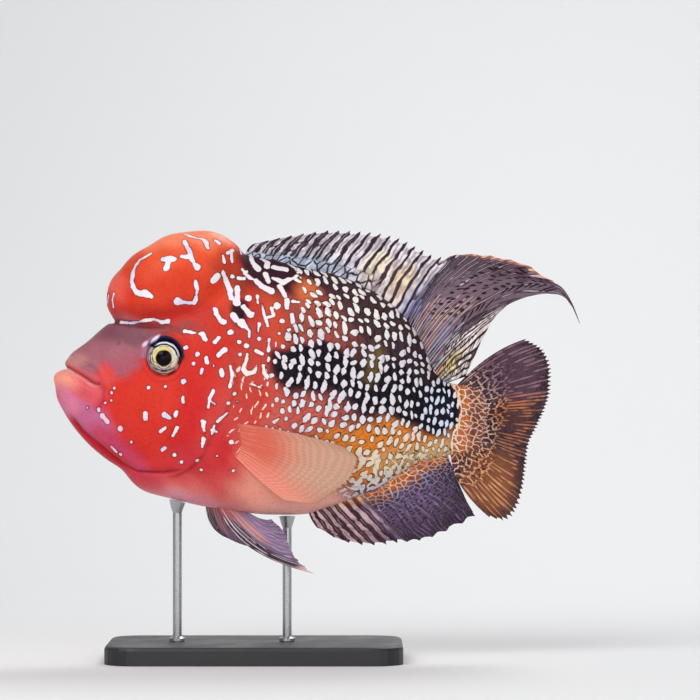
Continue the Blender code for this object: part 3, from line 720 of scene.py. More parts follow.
class Paint:
    """A material, with short ways to add nodes to its tree."""

    def __init__(self, name):
        self.material = bpy.data.materials.new(name)
        self.material.use_nodes = True
        self.tree = self.material.node_tree
        self.shader = self.tree.nodes["Principled BSDF"]

    def put(self, socket, value):
        if isinstance(value, Term):
            self.tree.links.new(value.socket, socket)
        elif isinstance(value, tuple) and socket.type == "RGBA":
            socket.default_value = (*linear(value), 1)
        else:
            socket.default_value = value

    def add(self, kind, inputs, output=0, **settings):
        made = self.tree.nodes.new("ShaderNode" + kind)
        for key, value in settings.items():
            setattr(made, key, value)
        for key, value in inputs.items():
            self.put(made.inputs[key], value)
        return Term(self, made.outputs[output])

    def math(self, operation, a, b=0.0):
        return self.add("Math", {0: a, 1: b}, operation=operation)

    def ramp(self, value, low, high, to_low=0.0, to_high=1.0):
        """A soft step from to_low at low to to_high at high."""
        inputs = {0: value, 1: low, 2: high, 3: to_low, 4: to_high}
        return self.add("MapRange", inputs, interpolation_type="SMOOTHSTEP")

    def fall(self, value, low, high):
        """1 below low and 0 above high."""
        return 1.0 - self.ramp(value, low, high)

    def away(self, x, y):
        """How far (x, y) is from the origin."""
        return self.math("SQRT", x * x + y * y)

    def mix(self, amount, a, b):
        return self.add("Mix", {0: amount, 6: a, 7: b}, 2, data_type="RGBA")

    def attribute(self, name, output="Vector"):
        return self.add("Attribute", {}, output, attribute_name=name)

    def parts(self, vector):
        made = self.tree.nodes.new("ShaderNodeSeparateXYZ")
        self.put(made.inputs[0], vector)
        return [Term(self, socket) for socket in made.outputs]

    def vector(self, x, y, z=0.0):
        return self.add("CombineXYZ", {0: x, 1: y, 2: z})

    def noise(self, vector, scale, detail=2.0):
        return self.add("TexNoise", {"Vector": vector, "Scale": scale, "Detail": detail})

    def walls(self, vector, scale=1.0, dimensions="2D"):
        """How far each place is from the walls between random cells."""
        inputs = {"Vector": vector, "Scale": scale}
        return self.add("TexVoronoi", inputs, voronoi_dimensions=dimensions, feature="DISTANCE_TO_EDGE")

    def place(self):
        return self.add("TexCoord", {}, "Object")

    def set(self, **inputs):
        for name, value in inputs.items():
            self.put(self.shader.inputs[name.replace("_", " ")], value)

    def bump(self, height, strength, distance):
        made = self.add("Bump", {"Strength": strength, "Distance": distance, "Height": height})
        self.tree.links.new(made.socket, self.shader.inputs["Normal"])


PEARL_HALF_WIDTH = 2.32


def pearls(paint):
    """Pearls on the lattice of the scale rows: how white, how dark for their rims, and how big."""
    lay = paint.attribute("lay")
    along, girdle, side = paint.parts(lay)
    size, tilt, worm = paint.parts(paint.attribute("style"))
    wobble = paint.noise(lay, 0.045, 1.0) - 0.5
    p = (along + girdle * girdle * ROW_CURVE + wobble * 12) / ROW_PITCH[0]
    q = (girdle + wobble * 14) / ROW_PITCH[1]
    cell = paint.vector(p + q, p - q + side * 31)
    inputs = {"Vector": cell, "Scale": 1.0, "Randomness": 0.38}
    middle = paint.add("TexVoronoi", inputs, "Position", voronoi_dimensions="2D")
    luck = Term(paint, middle.socket.node.outputs["Color"])
    one, other, _ = paint.parts(paint.add("VectorMath", {0: middle, 1: cell}, operation="SUBTRACT"))
    luck_a, luck_b, luck_c = paint.parts(luck)
    # One pearl: an oval turned by its tilt, with a wavy edge at 1.
    du = (one + other) * (0.5 * ROW_PITCH[0]) + (paint.noise(lay, 0.17, 1.0) - 0.5) * 3
    ds = (one - other) * (0.5 * ROW_PITCH[1])
    angle = tilt + (luck_a - 0.5) * 0.8
    cosine, sine = paint.math("COSINE", angle), paint.math("SINE", angle)
    grown = size * (luck_b * 0.4 + 0.8)
    thin = paint.fall(size, 0.3, 0.7)
    tall = paint.attribute("stretch", "Fac") * (luck_c * luck_c * 0.7 + 0.85)
    across = (du * cosine + ds * sine) / (grown * (PEARL_HALF_WIDTH - thin) + 0.05)
    upright = (ds * cosine - du * sine) / (grown * (tall + thin * 5) + 0.05)
    edge = paint.away(across, upright) + (paint.noise(lay, 0.24, 1.0) - 0.5) * 0.7
    # Worms, and the net on the tail's root.
    root = paint.ramp(worm, 1.0, 2.0)
    worms = paint.math("ABSOLUTE", paint.noise(lay, 0.075, 0.5) - 0.5) * 17
    worms = worms + paint.fall(worm, 0.0, 1.0) * 3 + root * 3
    net_at = paint.vector(along * 0.076 + wobble, girdle * 0.19 + paint.noise(lay, 0.1, 1.0), side)
    net = paint.walls(net_at) * 9 + (1.0 - root) * 3
    ring = paint.math("ABSOLUTE", worm - 1.5) * 3.4
    edge = paint.math("MINIMUM", edge + root * 3, worms) + paint.fall(size, 0.1, 0.35) * 3
    edge = paint.math("MINIMUM", edge, paint.math("MINIMUM", net, ring))
    return paint.fall(edge, 0.92, 1.08), paint.fall(edge, 1.15, 1.5), size


def flesh_paint(name, rough, bare):
    """The fish's paint: ground, pearls, and white strokes in dark rims. Bare skin has fine scaling too."""
    paint = Paint(name)
    spot = paint.place()
    cloud = paint.noise(spot, 90, 4)
    grain = paint.noise(spot, 900, 3)
    ground = paint.attribute("ground", "Color")
    lighter = paint.add("Gamma", {"Color": ground, "Gamma": 0.84})
    ground = paint.mix(paint.ramp(cloud, 0.3, 0.8, 0, 0.5), ground, lighter)
    ground = paint.mix(paint.ramp(grain, 0.5, 0.72, 0, 0.3), ground, paint.mix(0.5, ground, (60, 10, 20)))
    white, dark, size = pearls(paint)
    pearl = paint.attribute("pearl", "Color")
    pearl = paint.mix(paint.ramp(grain, 0.3, 0.7, 0, 0.22), pearl, (196, 186, 204))
    colour = paint.mix(dark * paint.ramp(size, 0.4, 0.9) * 0.9, ground, (14, 6, 12))
    colour = paint.mix(white, colour, pearl)
    # Strokes are ragged, and lilac in places from the nape forward.
    ragged = (paint.noise(spot, 260, 1) - 0.5) * 3.4 + (paint.noise(spot, 900, 1) - 0.5) * 1.4
    mark = paint.attribute("mark", "Fac") + ragged
    colour = paint.mix(paint.fall(mark, 0.4, 1.5) * 0.7, colour, (64, 12, 28))
    tinge = paint.ramp(paint.noise(spot, 130, 1), 0.42, 0.6)
    tinge = tinge * paint.ramp(paint.parts(spot)[0], -0.018, -0.03)
    lilac = paint.mix(tinge, (240, 232, 234), (200, 190, 224))
    colour = paint.mix(paint.fall(mark, -0.25, 0.4), colour, paint.mix(0.5, pearl, lilac))
    paint.set(Base_Color=colour, Roughness=paint.ramp(grain, 0.2, 0.8, rough - 0.07, rough + 0.1))
    paint.set(Coat_Weight=0.03, Coat_Roughness=0.15, IOR=1.36, Specular_IOR_Level=0.14)
    paint.set(Subsurface_Weight=0.05, Subsurface_Scale=0.0014, Subsurface_Radius=(1.0, 0.35, 0.25))
    if bare:
        paint.bump(paint.ramp(paint.walls(spot, 520.0, "3D"), 0.0, 0.25) + grain * 0.5, 0.16, 0.0004)
    else:
        along, girdle, _ = paint.parts(paint.attribute("lay"))
        fine = paint.noise(paint.vector(along * 0.25, girdle * 2.4), 1.0, 3)
        paint.bump(fine * 0.6 + white * 0.5, 0.25, 0.0003)
    return paint.material


body_markings(skin.data, read(skin.data))
skin.data.materials.append(flesh_paint("skin", 0.36, True))
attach(skin, "root")
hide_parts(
    "nuchal_hump", "head", "upper_jaw", "lower_jaw", "gill_cover_left", "gill_cover_right", "trunk",
    "tail_stalk",
)

# --------------------------------------------------------------------------------------------------
# The scales. Thin horny plates in staggered rows over the flanks, each rooted in the skin under the ones
# before it and free at its rear edge. One piece for each flank, in the skin's own markings.

SCALE_LENGTH, SCALE_WIDTH = 15.8, 15.8
SCALE_BACK = 3.6  # how far a scale's middle lies before its pearl, because its front is covered
SCALES_FROM = (
    [4, 20, 45, 62, 80, 140, 170, 200, 235, 262],
    [296, 290, 268, 232, 206, 210, 216, 228, 244, 254],
)  # by height v, the u where the scales begin
SCALES_END = 424
# In metres: the root's height over the skin, the free edge's above that, the plate's thickness and its crown,
# and how deep the first scales are sunk
ROOT_HEIGHT, EDGE_RISE, PLATE_THICK, PLATE_CROWN, SUNK = 0.00004, 0.00034, 0.00022, 0.00006, 0.0007
# A scale's patch on the flank unrolled: half its length and width, and the whole map's low corner and size
PATCH_HALF = (3.95, 4.9)
MAP_LOW, MAP_SIZE = (190, -150), (296, 360)


def torso_points(u, angle):
    back, belly, half, widest, back_power, belly_power = through(TORSO, u).T
    up = np.sin(angle)
    power = np.where(up > 0, back_power, belly_power)
    reach = np.where(up > 0, back - widest, widest - belly)
    return np.column_stack([u, np.maximum(np.cos(angle), 0) ** power * half, widest + reach * up])


def torso_angle(u, along):
    """The angles round the torso at u that lie a given way round from its widest line."""
    low, high = np.full(len(u), -math.pi / 2), np.full(len(u), math.pi / 2)
    for _ in range(18):
        middle = (low + high) / 2
        short = girth(torso_points(u, middle)) < along
        low, high = np.where(short, middle, low), np.where(short, high, middle)
    return (low + high) / 2


def scale_sites():
    """The middles of the scales along and round the unrolled flank, and how far each is out of the skin."""
    n, m = np.meshgrid(np.arange(0, 80), np.arange(-40, 60))
    p, q = (n + m).ravel() / 2 + 0.3, (n - m).ravel() / 2
    around = q * ROW_PITCH[1]
    along = p * ROW_PITCH[0] - ROW_CURVE * around**2 - SCALE_BACK
    keep = (along > 160) & (along < crowded(SCALES_END)) & (np.abs(around) < 240)
    along, around = along[keep], around[keep]
    u = uncrowded(along)
    angle = torso_angle(u, around - ROW_SLOPE * (u - MIDDLE_U))
    past = u - np.interp(torso_points(u, angle)[:, 2], *SCALES_FROM)
    keep = (past > 0) & (np.abs(angle) < 1.46)
    return along[keep], around[keep], smooth(past, 0, 30)[keep]


def scale_plate():
    """One round plate on a square of 2, flat, with its underside at 0 and its top at 1."""
    bm = bmesh.new()
    bmesh.ops.create_grid(bm, x_segments=6, y_segments=6, size=1)
    raised = bmesh.ops.extrude_face_region(bm, geom=bm.faces[:])["geom"]
    top = [e for e in raised if isinstance(e, bmesh.types.BMVert)]
    bmesh.ops.translate(bm, verts=top, vec=(0, 0, 1))
    under = [f for f in bm.faces if all(v.co.z < 0.5 for v in f.verts)]
    bmesh.ops.dissolve_faces(bm, faces=under)
    bmesh.ops.recalc_face_normals(bm, faces=bm.faces)
    mesh = bpy.data.meshes.new("scale_plate")
    bm.to_mesh(mesh)
    bm.free()
    return mesh


def map_scales(mesh, a, b, top, along, around):
    """Gives each scale a patch at its root's place on the flank unrolled, with its rim round its top.

    The underside is a thin strip below the top.
    """
    corner = np.empty(len(mesh.loops), int)
    mesh.loops.foreach_get("vertex_index", corner)
    under = np.zeros(len(mesh.loops), bool)
    for face in mesh.polygons:
        if len(face.vertices) > 4:
            under[face.loop_start:face.loop_start + face.loop_total] = True
    spread = np.where(top[corner] > 0.5, 0.88, 0.98)
    across = a[corner] * spread * PATCH_HALF[0]
    upright = np.where(under, -5.3 + 0.15 * b[corner], b[corner] * spread * PATCH_HALF[1] + 0.45)
    over = np.column_stack([along[corner] + across, around[corner] + upright])
    uv = mesh.uv_layers.new(name="OFBake")
    uv.data.foreach_set("uv", ((over - MAP_LOW) / MAP_SIZE).astype(np.float32).ravel())


def scales(name, side, seed):
    plate = scale_plate()
    site_along, site_around, emerged = scale_sites()
    count = len(site_along)
    bm = bmesh.new()
    for _ in range(count):
        bm.from_mesh(plate)
    made = bpy.data.meshes.new(name)
    bm.to_mesh(made)
    bm.free()
    a, b, top = np.tile(read(plate), (count, 1)).T
    owner = np.repeat(np.arange(count), len(plate.vertices))
    chance = np.random.default_rng(seed)
    turn = chance.normal(0, 0.06, count)[owner]
    lift = chance.normal(0, 0.00003, count)[owner]
    # The square becomes a disc, turned a little, and is laid on the unrolled flank.
    x, y = a * np.sqrt(1 - b * b / 2), b * np.sqrt(1 - a * a / 2)
    x, y = x * np.cos(turn) - y * np.sin(turn), x * np.sin(turn) + y * np.cos(turn)
    u = uncrowded(site_along[owner] + x * SCALE_LENGTH / 2)
    around = site_around[owner] + y * SCALE_WIDTH / 2 - ROW_SLOPE * (u - MIDDLE_U)
    points = torso_points(u, torso_angle(u, around))
    points[:, 1] *= side
    rear = (x + 1) / 2
    height = ROOT_HEIGHT + (EDGE_RISE + lift) * rear + top * PLATE_THICK * (1 - 0.45 * rear)
    height += PLATE_CROWN * top * (1 - y * y) - (1 - emerged[owner]) * SUNK
    spots = place(points)
    raised = spots.copy()
    for i, point in enumerate(spots):
        spot, normal, _, _ = skin_tree.find_nearest(Vector(point))
        spots[i], raised[i] = spot, spot + normal * height[i]
    write(made, raised)
    body_markings(made, spots)
    map_scales(made, a, b, top, site_along[owner], site_around[owner])
    made.shade_smooth()
    piece = bpy.data.objects.new(name, made)
    bpy.context.scene.collection.objects.link(piece)
    piece.data.materials.append(scale_material)
    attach(piece, "root")


scale_material = flesh_paint("scales", 0.3, False)
scales("scales_left", -1, 7)
scales("scales_right", 1, 8)

# --------------------------------------------------------------------------------------------------
# The eyes. Glossy balls deep in their sockets: a black pupil in a brown and a yellow ring, a cream iris
# with dark mottles, and a navy rim with a pale sheen above.


def eye_paint():
    paint = Paint("eye")
    x, _, z = paint.parts(paint.place())
    u = x / UNIT + (MIDDLE_U - EYE_CENTRE[0])
    v = (z - KEEL_HEIGHT) / UNIT - EYE_CENTRE[2]
    spot = paint.vector(u, v)
    uneven = (paint.noise(spot, 0.25, 2) - 0.5) * 1.4
    out = paint.away(u, v) + uneven
    turn = paint.math("ARCTAN2", v, paint.math("ABSOLUTE", u))
    # The iris: mottles, a lilac edge in front, a dim ring, the yellow ring and a pale arc behind it.
    rings = paint.noise(paint.vector(turn * 2.2, out * 0.75), 1.0, 3)
    colour = paint.mix(paint.ramp(rings, 0.35, 0.62), (150, 142, 128), (236, 230, 206))
    lower = paint.ramp(v * 0.8 + u * 0.6, 4, -6)
    colour = paint.mix(paint.ramp(rings, 0.56, 0.48) * lower * 0.8, colour, (78, 66, 76))
    outer = paint.ramp(out, 13.6, 15.2) * paint.ramp(u, 3, -6)
    colour = paint.mix(outer * 0.7, colour, (150, 122, 144))
    dim = paint.ramp(out, 12.4, 13.0) * paint.fall(out, 13.4, 14.2)
    colour = paint.mix(dim * 0.75, colour, (54, 44, 56))
    gold = paint.fall(out, 9.6, 11.6) * paint.ramp(v - u * 0.6, -7, 7, 0.2, 0.95)
    colour = paint.mix(gold, colour, (214, 204, 118))
    pale = paint.ramp(out, 9.6, 10.6) * paint.fall(out, 13.2, 14.0) * paint.ramp(u, 6, 9)
    colour = paint.mix(pale * 0.8, colour, (236, 234, 218))
    # The dark rim behind, the navy top with its sheen, and the pupil.
    rim = paint.ramp(out, 14.0, 14.7) * paint.ramp(u, 3, 8) * paint.ramp(v, -9, -5)
    colour = paint.mix(rim * 0.85, colour, (40, 24, 44))
    navy = paint.ramp(v + u * 0.32, 5.0, 7.5) * paint.ramp(out, 12.0, 12.8)
    colour = paint.mix(navy, colour, (22, 20, 44))
    streak = navy * paint.ramp(out, 13.8, 14.3) * paint.fall(out, 15.4, 15.9) * paint.ramp(u, -10, -4)
    colour = paint.mix(streak * 0.95, colour, (244, 240, 250))
    hole = paint.away(u, v + 0.6) + uneven
    colour = paint.mix(paint.fall(hole, 7.8, 8.4), colour, (64, 38, 34))
    colour = paint.mix(paint.fall(hole, 6.9, 7.5), colour, (14, 4, 12))
    paint.set(Base_Color=colour, Roughness=paint.ramp(paint.noise(spot, 1.2), 0.3, 0.7, 0.1, 0.16))
    paint.set(Coat_Weight=0.03, Coat_Roughness=0.05, IOR=1.33, Specular_IOR_Level=0.14)
    paint.bump(paint.noise(spot, 0.7, 3), 0.05, 0.0004)
    return paint.material


eye_material = eye_paint()
for side, name in ((-1, "left"), (1, "right")):
    shape = bmesh.new()
    bmesh.ops.create_uvsphere(shape, u_segments=64, v_segments=40, radius=1)
    for vert in shape.verts:
        u, v, out = vert.co
        # The poles point sideways, and the cornea bulges over the pupil.
        bulge = 1 + 0.05 * max(0.0, out) ** 8
        radius = EYE_RADIUS - 0.3
        across = EYE_CENTRE[1] + out * bulge * (EYE_RADIUS - 0.6)
        vert.co = place([(EYE_CENTRE[0] + u * radius, side * across, EYE_CENTRE[2] + v * radius)])[0]
    ball = make_object(f"eyeball_{name}", shape)
    ball.data.materials.append(eye_material)
    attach(ball, "root")
    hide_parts(f"eye_{name}")

# --------------------------------------------------------------------------------------------------
# The fins. Thin webs of skin over fans of bony rays that fork towards the edge, drawn out to points between
# notches. Streaked, spotted and netted in plum, pink, pale blue, cream and orange.

# Edges of each fin: share of the fan, root u, v, middle u, v, tip u, v
DORSAL = np.array([
    (0.00, 188, 258, 194, 269, 201, 273),
    (0.10, 213, 252, 225, 269, 239, 281.5),
    (0.20, 245, 245, 261, 268, 278, 286.5),
    (0.30, 277, 237, 294, 263, 312, 285),
    (0.40, 307, 226, 325, 256, 343, 279),
    (0.50, 333, 209, 351, 242, 369, 266.5),
    (0.56, 345, 198, 366, 234, 386, 260),
    (0.62, 354, 188, 380, 229, 415, 263),
    (0.70, 362, 177, 404, 228, 465, 255),
    (0.76, 367, 167, 430, 229, 505, 232),
    (0.788, 369, 162, 441, 229, 520, 225.5),
    (0.808, 371, 158, 446, 226, 528, 222),
    (0.827, 372, 155, 440, 217, 512, 221),
    (0.85, 374, 151, 424, 200, 492, 223),
    (0.88, 376, 146, 412, 184, 466, 218),
    (0.92, 379, 140, 404, 167, 442, 200),
    (0.96, 384, 135, 400, 149, 424, 167),
    (1.00, 391, 132, 401, 136, 411, 139),
])
TAIL = np.array([
    (0.0, 402, 130, 436, 160, 473, 177.5),
    (0.1, 403, 124, 448, 149, 491, 166),
    (0.2, 403, 117, 453, 133, 498, 146),
    (0.3, 403, 110, 453, 118, 497, 124),
    (0.4, 403, 103, 450, 104, 491, 105),
    (0.5, 403, 96, 446, 92, 483, 88),
    (0.6, 403, 89, 442, 79, 475, 70),
    (0.7, 402, 82, 439, 65, 472.5, 50),
    (0.8, 401, 76, 435, 51, 470, 28),
    (0.9, 400, 70, 427, 37, 462, 3),
    (0.96, 398, 66, 418, 31, 450, -6),
    (1.0, 396, 63, 406, 30, 436, -3),
])
ANAL = np.array([
    (0.00, 253, 4, 257, -5, 262, -12),
    (0.12, 262, 8, 277, -11, 291, -27),
    (0.25, 276, 13, 297, -10, 317, -30.5),
    (0.40, 296, 20, 320, -5, 343, -28),
    (0.50, 311, 26, 336, -1, 359, -26),
    (0.60, 327, 34, 353, 5, 378, -22),
    (0.70, 342, 44, 371, 15, 399, -12),
    (0.80, 357, 53, 389, 26, 421, -1),
    (0.90, 375, 59, 397, 33, 419, 3),
    (1.00, 393, 62, 402, 38, 415, 8),
])
PECTORAL = np.array([
    (0.00, 171, 95, 230, 86, 290, 70),
    (0.25, 172, 89, 237, 75, 304, 57),
    (0.50, 173, 82, 237, 61, 299, 41),
    (0.75, 174, 75, 229, 47, 276, 22),
    (0.90, 175, 70, 218, 39, 258, 13),
    (1.00, 176, 66, 204, 38, 230, 17),
])
PELVIC_LEFT = np.array([
    (0.00, 161, 15, 193, -29, 260, -56),
    (0.25, 166, 14, 204, -27, 245, -44),
    (0.50, 172, 13, 206, -18, 236, -31),
    (0.75, 178, 12, 206, -9, 230, -15),
    (1.00, 184, 11, 203, -1, 217, -2),
])
PELVIC_RIGHT = np.array([
    (0.00, 150, 17, 157, -13, 182, -27),
    (0.50, 158, 15, 171, -17, 192, -32),
    (1.00, 168, 13, 184, -11, 200, -28),
])


def flank(u, v):
    """The torso's half-width at a height v."""
    back, belly, half, widest, back_power, belly_power = through(TORSO, u).T
    up = v > widest
    rise = np.where(up, (v - widest) / (back - widest), (widest - v) / (widest - belly))
    return half * np.sqrt(np.maximum(0, 1 - rise**2)) ** np.where(up, back_power, belly_power)


def wave(share, reach, u, v):
    """The dorsal and anal fins stand in the middle plane and wave a little."""
    return 0.3 + 3 * reach * np.sin(7 * share)


def cupped(share, reach, u, v):
    """The tail fin's edges stand a little to the right of its middle."""
    return 9 * reach**2 * np.cos(2 * math.pi * share)


def off_flank(side, swing):
    """A breast fin follows its flank and swings out from it. side is -1 on the left and 1 on the right."""
    return lambda share, reach, u, v: side * (flank(u, v) - 2.5 + 4 * reach + swing * reach**1.6)


def under_belly(side):
    """The belly fins hang side by side and spread apart."""
    return lambda share, reach, u, v: side * (11 + 26 * reach - 6 * share)


DROOP_FROM, DROOP = 503, 0.055  # behind this u the dorsal fin's last tip trails down


def fin(name, rows, count, notch, side_at, look, paint, thick):
    """A fin as a flat slab of squares bent into its fan.

    count is how many rays, squares to a ray and squares along them. notch is how far the web falls short of
    the rays, the share of the fan at which that changes, and how far after it. side_at gives how far each
    place stands to the fish's right. thick is how thick the slab is at the root and at the edge.
    """
    rays, per_ray, steps = count
    bm = bmesh.new()
    bmesh.ops.create_grid(bm, x_segments=rays * per_ray, y_segments=steps, size=1)
    raised = bmesh.ops.extrude_face_region(bm, geom=bm.faces[:])["geom"]
    far = [e for e in raised if isinstance(e, bmesh.types.BMVert)]
    bmesh.ops.translate(bm, verts=far, vec=(0, 0, 1))
    uv = bm.loops.layers.uv.new("OFBake")
    for face in bm.faces:
        middle = face.calc_center_median()
        for loop in face.loops:
            share, reach, side = (loop.vert.co.x + 1) / 2, (loop.vert.co.y + 1) / 2, loop.vert.co.z
            if middle.z in (0.0, 1.0):
                # The two flats lie side by side, and the four rims in rows above them.
                loop[uv].uv = (0.01 + 0.48 * share + 0.5 * side, 0.01 + 0.93 * reach)
            else:
                ends = abs(middle.x) > 0.999
                row = 0.955 + 0.02 * ends + 0.01 * (middle.x + middle.y > 0)
                loop[uv].uv = (0.01 + 0.98 * (reach if ends else share), row + 0.006 * side)
    made = make_object(name, bm)
    x, y, side = read(made.data).T
    share, reach = (x + 1) / 2, (y + 1) / 2
    ray = share * rays
    gap = ray - np.floor(ray + 1e-6)
    before, change, after = notch
    depth = np.where(share < change, before, after)
    # A spine's web leaves its tip steeply in front and slowly behind, a soft ray's evenly.
    steep = np.clip(gap / 0.3, 0, 1) * (1 - gap * 0.45) * (gap < 0.999)
    web = np.where(depth > 0.06, steep, np.sin(math.pi * gap))
    frayed = 0.012 * np.sin(5.1 * ray) * np.sin(3.4 * ray)
    stretch = reach * (1 - depth * web - np.abs(frayed))
    # Each ray is one curve from its root over its middle to its tip.
    root_u, root_v, mid_u, mid_v, tip_u, tip_v = through(rows, share).T
    a, b, c = (1 - stretch) * (1 - 2 * stretch), 4 * stretch * (1 - stretch), stretch * (2 * stretch - 1)
    u = a * root_u + b * mid_u + c * tip_u
    v = a * root_v + b * mid_v + c * tip_v
    v -= DROOP * np.maximum(0, u - DROOP_FROM) ** 2
    # The slab is thick at the rays, which fork in two towards the edge, and thin at the webs.
    ridge = np.abs(2 * gap - 1)
    fork = np.abs(2 * ((2 * ray) % 1) - 1)
    forked = smooth(reach, 0.4, 0.8)
    ridge = ridge**3 * (1 - 0.5 * forked) + fork**3 * 0.5 * forked
    width = (thick[0] + (thick[1] - thick[0]) * reach) * (0.42 + 0.58 * ridge)
    w = side_at(share, stretch, u, v) + (side - 0.5) * width
    write(made.data, place(np.column_stack([u, w, v])))
    set_attribute(made.data, "fan", np.column_stack([ray, reach, side]), "FLOAT_VECTOR")
    ground, streak, style = look(share, reach)
    set_attribute(made.data, "ground", ground, "FLOAT_COLOR")
    set_attribute(made.data, "streak", streak, "FLOAT_COLOR")
    set_attribute(made.data, "style", style[:, :3], "FLOAT_VECTOR")
    set_attribute(made.data, "rays", style[:, 3:], "FLOAT_VECTOR")
    made.data.materials.append(paint)
    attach(made, "root")
    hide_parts(name.replace("_web", "_fin"))


def fin_paint(name, streaks_per_web, net_size, dot_size):
    """Fin skin: dark rays, pale streaks along the webs, pale nets or cobbles, dark dots and growth bands.

    Streaks are counted to a web, for plain and for fine places. Sizes are how many fit a web and the fin's
    length.
    """
    paint = Paint(name)
    spot = paint.place()
    ray, reach, side = paint.parts(paint.attribute("fan"))
    streaks, dots, net = paint.parts(paint.attribute("style"))
    lines, fill, fine = paint.parts(paint.attribute("rays"))
    grain = paint.noise(spot, 1400, 3)
    lane = ray + (paint.noise(paint.vector(ray * 0.8, reach * 3.5, side * 7), 1.0, 1.0) - 0.5) * 0.6

    def comb(times):
        """0 in the middle of each web and 1 at the rays, with the webs divided into so many."""
        return paint.math("ABSOLUTE", paint.math("FRACT", lane * times) - 0.5) * 2

    def bars(times):
        """Streaks along the webs, each broken where its own luck runs out."""
        number = paint.math("FLOOR", lane * times) * 5.37 + side * 17.3
        luck = paint.noise(paint.vector(number, reach * 4), 1.0, 1.0) - 0.72 + streaks * 0.5
        swell = paint.noise(paint.vector(number + 9.1, reach * 9), 1.0, 1.0) + 0.5
        return paint.ramp(paint.ramp(luck, 0.0, 0.1) * fill * swell - comb(times), -0.04, 0.14)

    outer = paint.ramp(reach, 0.4, 0.6)
    crest = comb(1.0) * (1.0 - outer) + comb(2.0) * outer
    line = paint.ramp(crest, 0.55, 0.75) * lines
    hair = paint.ramp(crest, 0.82, 0.95) * lines * paint.ramp(fill, 0.62, 0.5)
    hair = hair * paint.ramp(paint.noise(spot, 170, 1), 0.4, 0.55)
    ground = paint.attribute("ground", "Color")
    bands = paint.math("SINE", reach * 110 + (paint.noise(spot, 90, 1) - 0.5) * 9)
    banded = paint.ramp(bands, -0.8, 1, 0, 0.18) * paint.ramp(lines, 0.3, 0.1) * paint.ramp(reach, 0.3, 0.6)
    ground = paint.mix(banded, ground, (236, 200, 184))
    ground = paint.mix(paint.ramp(grain, 0.4, 0.75, 0, 0.25), ground, paint.mix(0.5, ground, (190, 160, 160)))
    colour = paint.mix(line, ground, paint.mix(0.85, ground, (14, 8, 16)))
    white = bars(streaks_per_web[0]) * (1.0 - fine) + bars(streaks_per_web[1]) * fine
    netted = paint.ramp(net, 0.2, 0.7)
    cobbled = paint.ramp(net, -0.2, -0.7)
    cells = paint.walls(paint.vector(lane * net_size[0] + side * 7, reach * net_size[1]))
    webs = paint.fall(cells, 0.06, 0.13) * netted + paint.ramp(cells, 0.06, 0.15) * cobbled
    white = paint.math("MAXIMUM", white * (1.0 - netted) * (1.0 - cobbled) * (1.0 - line * 0.5), webs)
    tint = paint.attribute("streak", "Color")
    tint = paint.mix(paint.ramp(grain, 0.35, 0.7, 0, 0.2), tint, (150, 126, 146))
    colour = paint.mix(hair * 0.6, colour, tint)
    number = paint.math("FLOOR", lane * streaks_per_web[1])
    shade = paint.noise(paint.vector(number * 3.1, reach * 6, side), 1.0, 1.0)
    hue = paint.noise(paint.vector(number * 7.7, reach * 3, side), 1.0, 0.0)
    inner = paint.ramp(reach, 0.42, 0.2) * fine * 0.75
    tint = paint.mix(paint.ramp(hue, 0.54, 0.6) * inner, tint, (206, 136, 84))
    tint = paint.mix(paint.ramp(hue, 0.46, 0.4) * inner, tint, (146, 166, 204))
    tint = paint.mix(paint.ramp(shade, 0.62, 0.4, 0, 0.45) * (1.0 - netted), tint, ground)
    colour = paint.mix(white * 0.94, colour, tint)
    dot_at = paint.vector(lane * dot_size[0], reach * dot_size[1] + side * 5)
    inputs = {"Vector": dot_at, "Scale": 1.0, "Randomness": 0.6}
    fleck = paint.add("TexVoronoi", inputs, voronoi_dimensions="2D")
    colour = paint.mix(paint.fall(fleck, 0.2, 0.3) * dots * 0.95, colour, (26, 14, 26))
    paint.set(Base_Color=colour, Roughness=paint.ramp(grain, 0.2, 0.8, 0.36, 0.52))
    paint.set(Coat_Weight=0.05, Coat_Roughness=0.2, IOR=1.36, Specular_IOR_Level=0.2)
    paint.set(Subsurface_Weight=0.05, Subsurface_Scale=0.001)
    ripple = paint.noise(paint.vector(ray * 2, reach * 60, side), 1.0, 2)
    paint.bump(line * 0.8 + ripple * 0.4, 0.4, 0.0003)
    return paint.material


def shades(base, patches, share, reach):
    """Ground or streak colours: soft patches over the share and reach of the fan, on a base."""
    return blend_patches(np.column_stack([share, reach]), plain(base, len(share)), patches)


def styled(count, **amounts):
    """How much a fin has of streaks, dots, net (below 0 cobbles), dark ray lines, filled webs, fineness."""
    names = ("streaks", "dots", "net", "lines", "fill", "fine")
    return np.column_stack([amounts.get(name, 0) + np.zeros(count) for name in names])


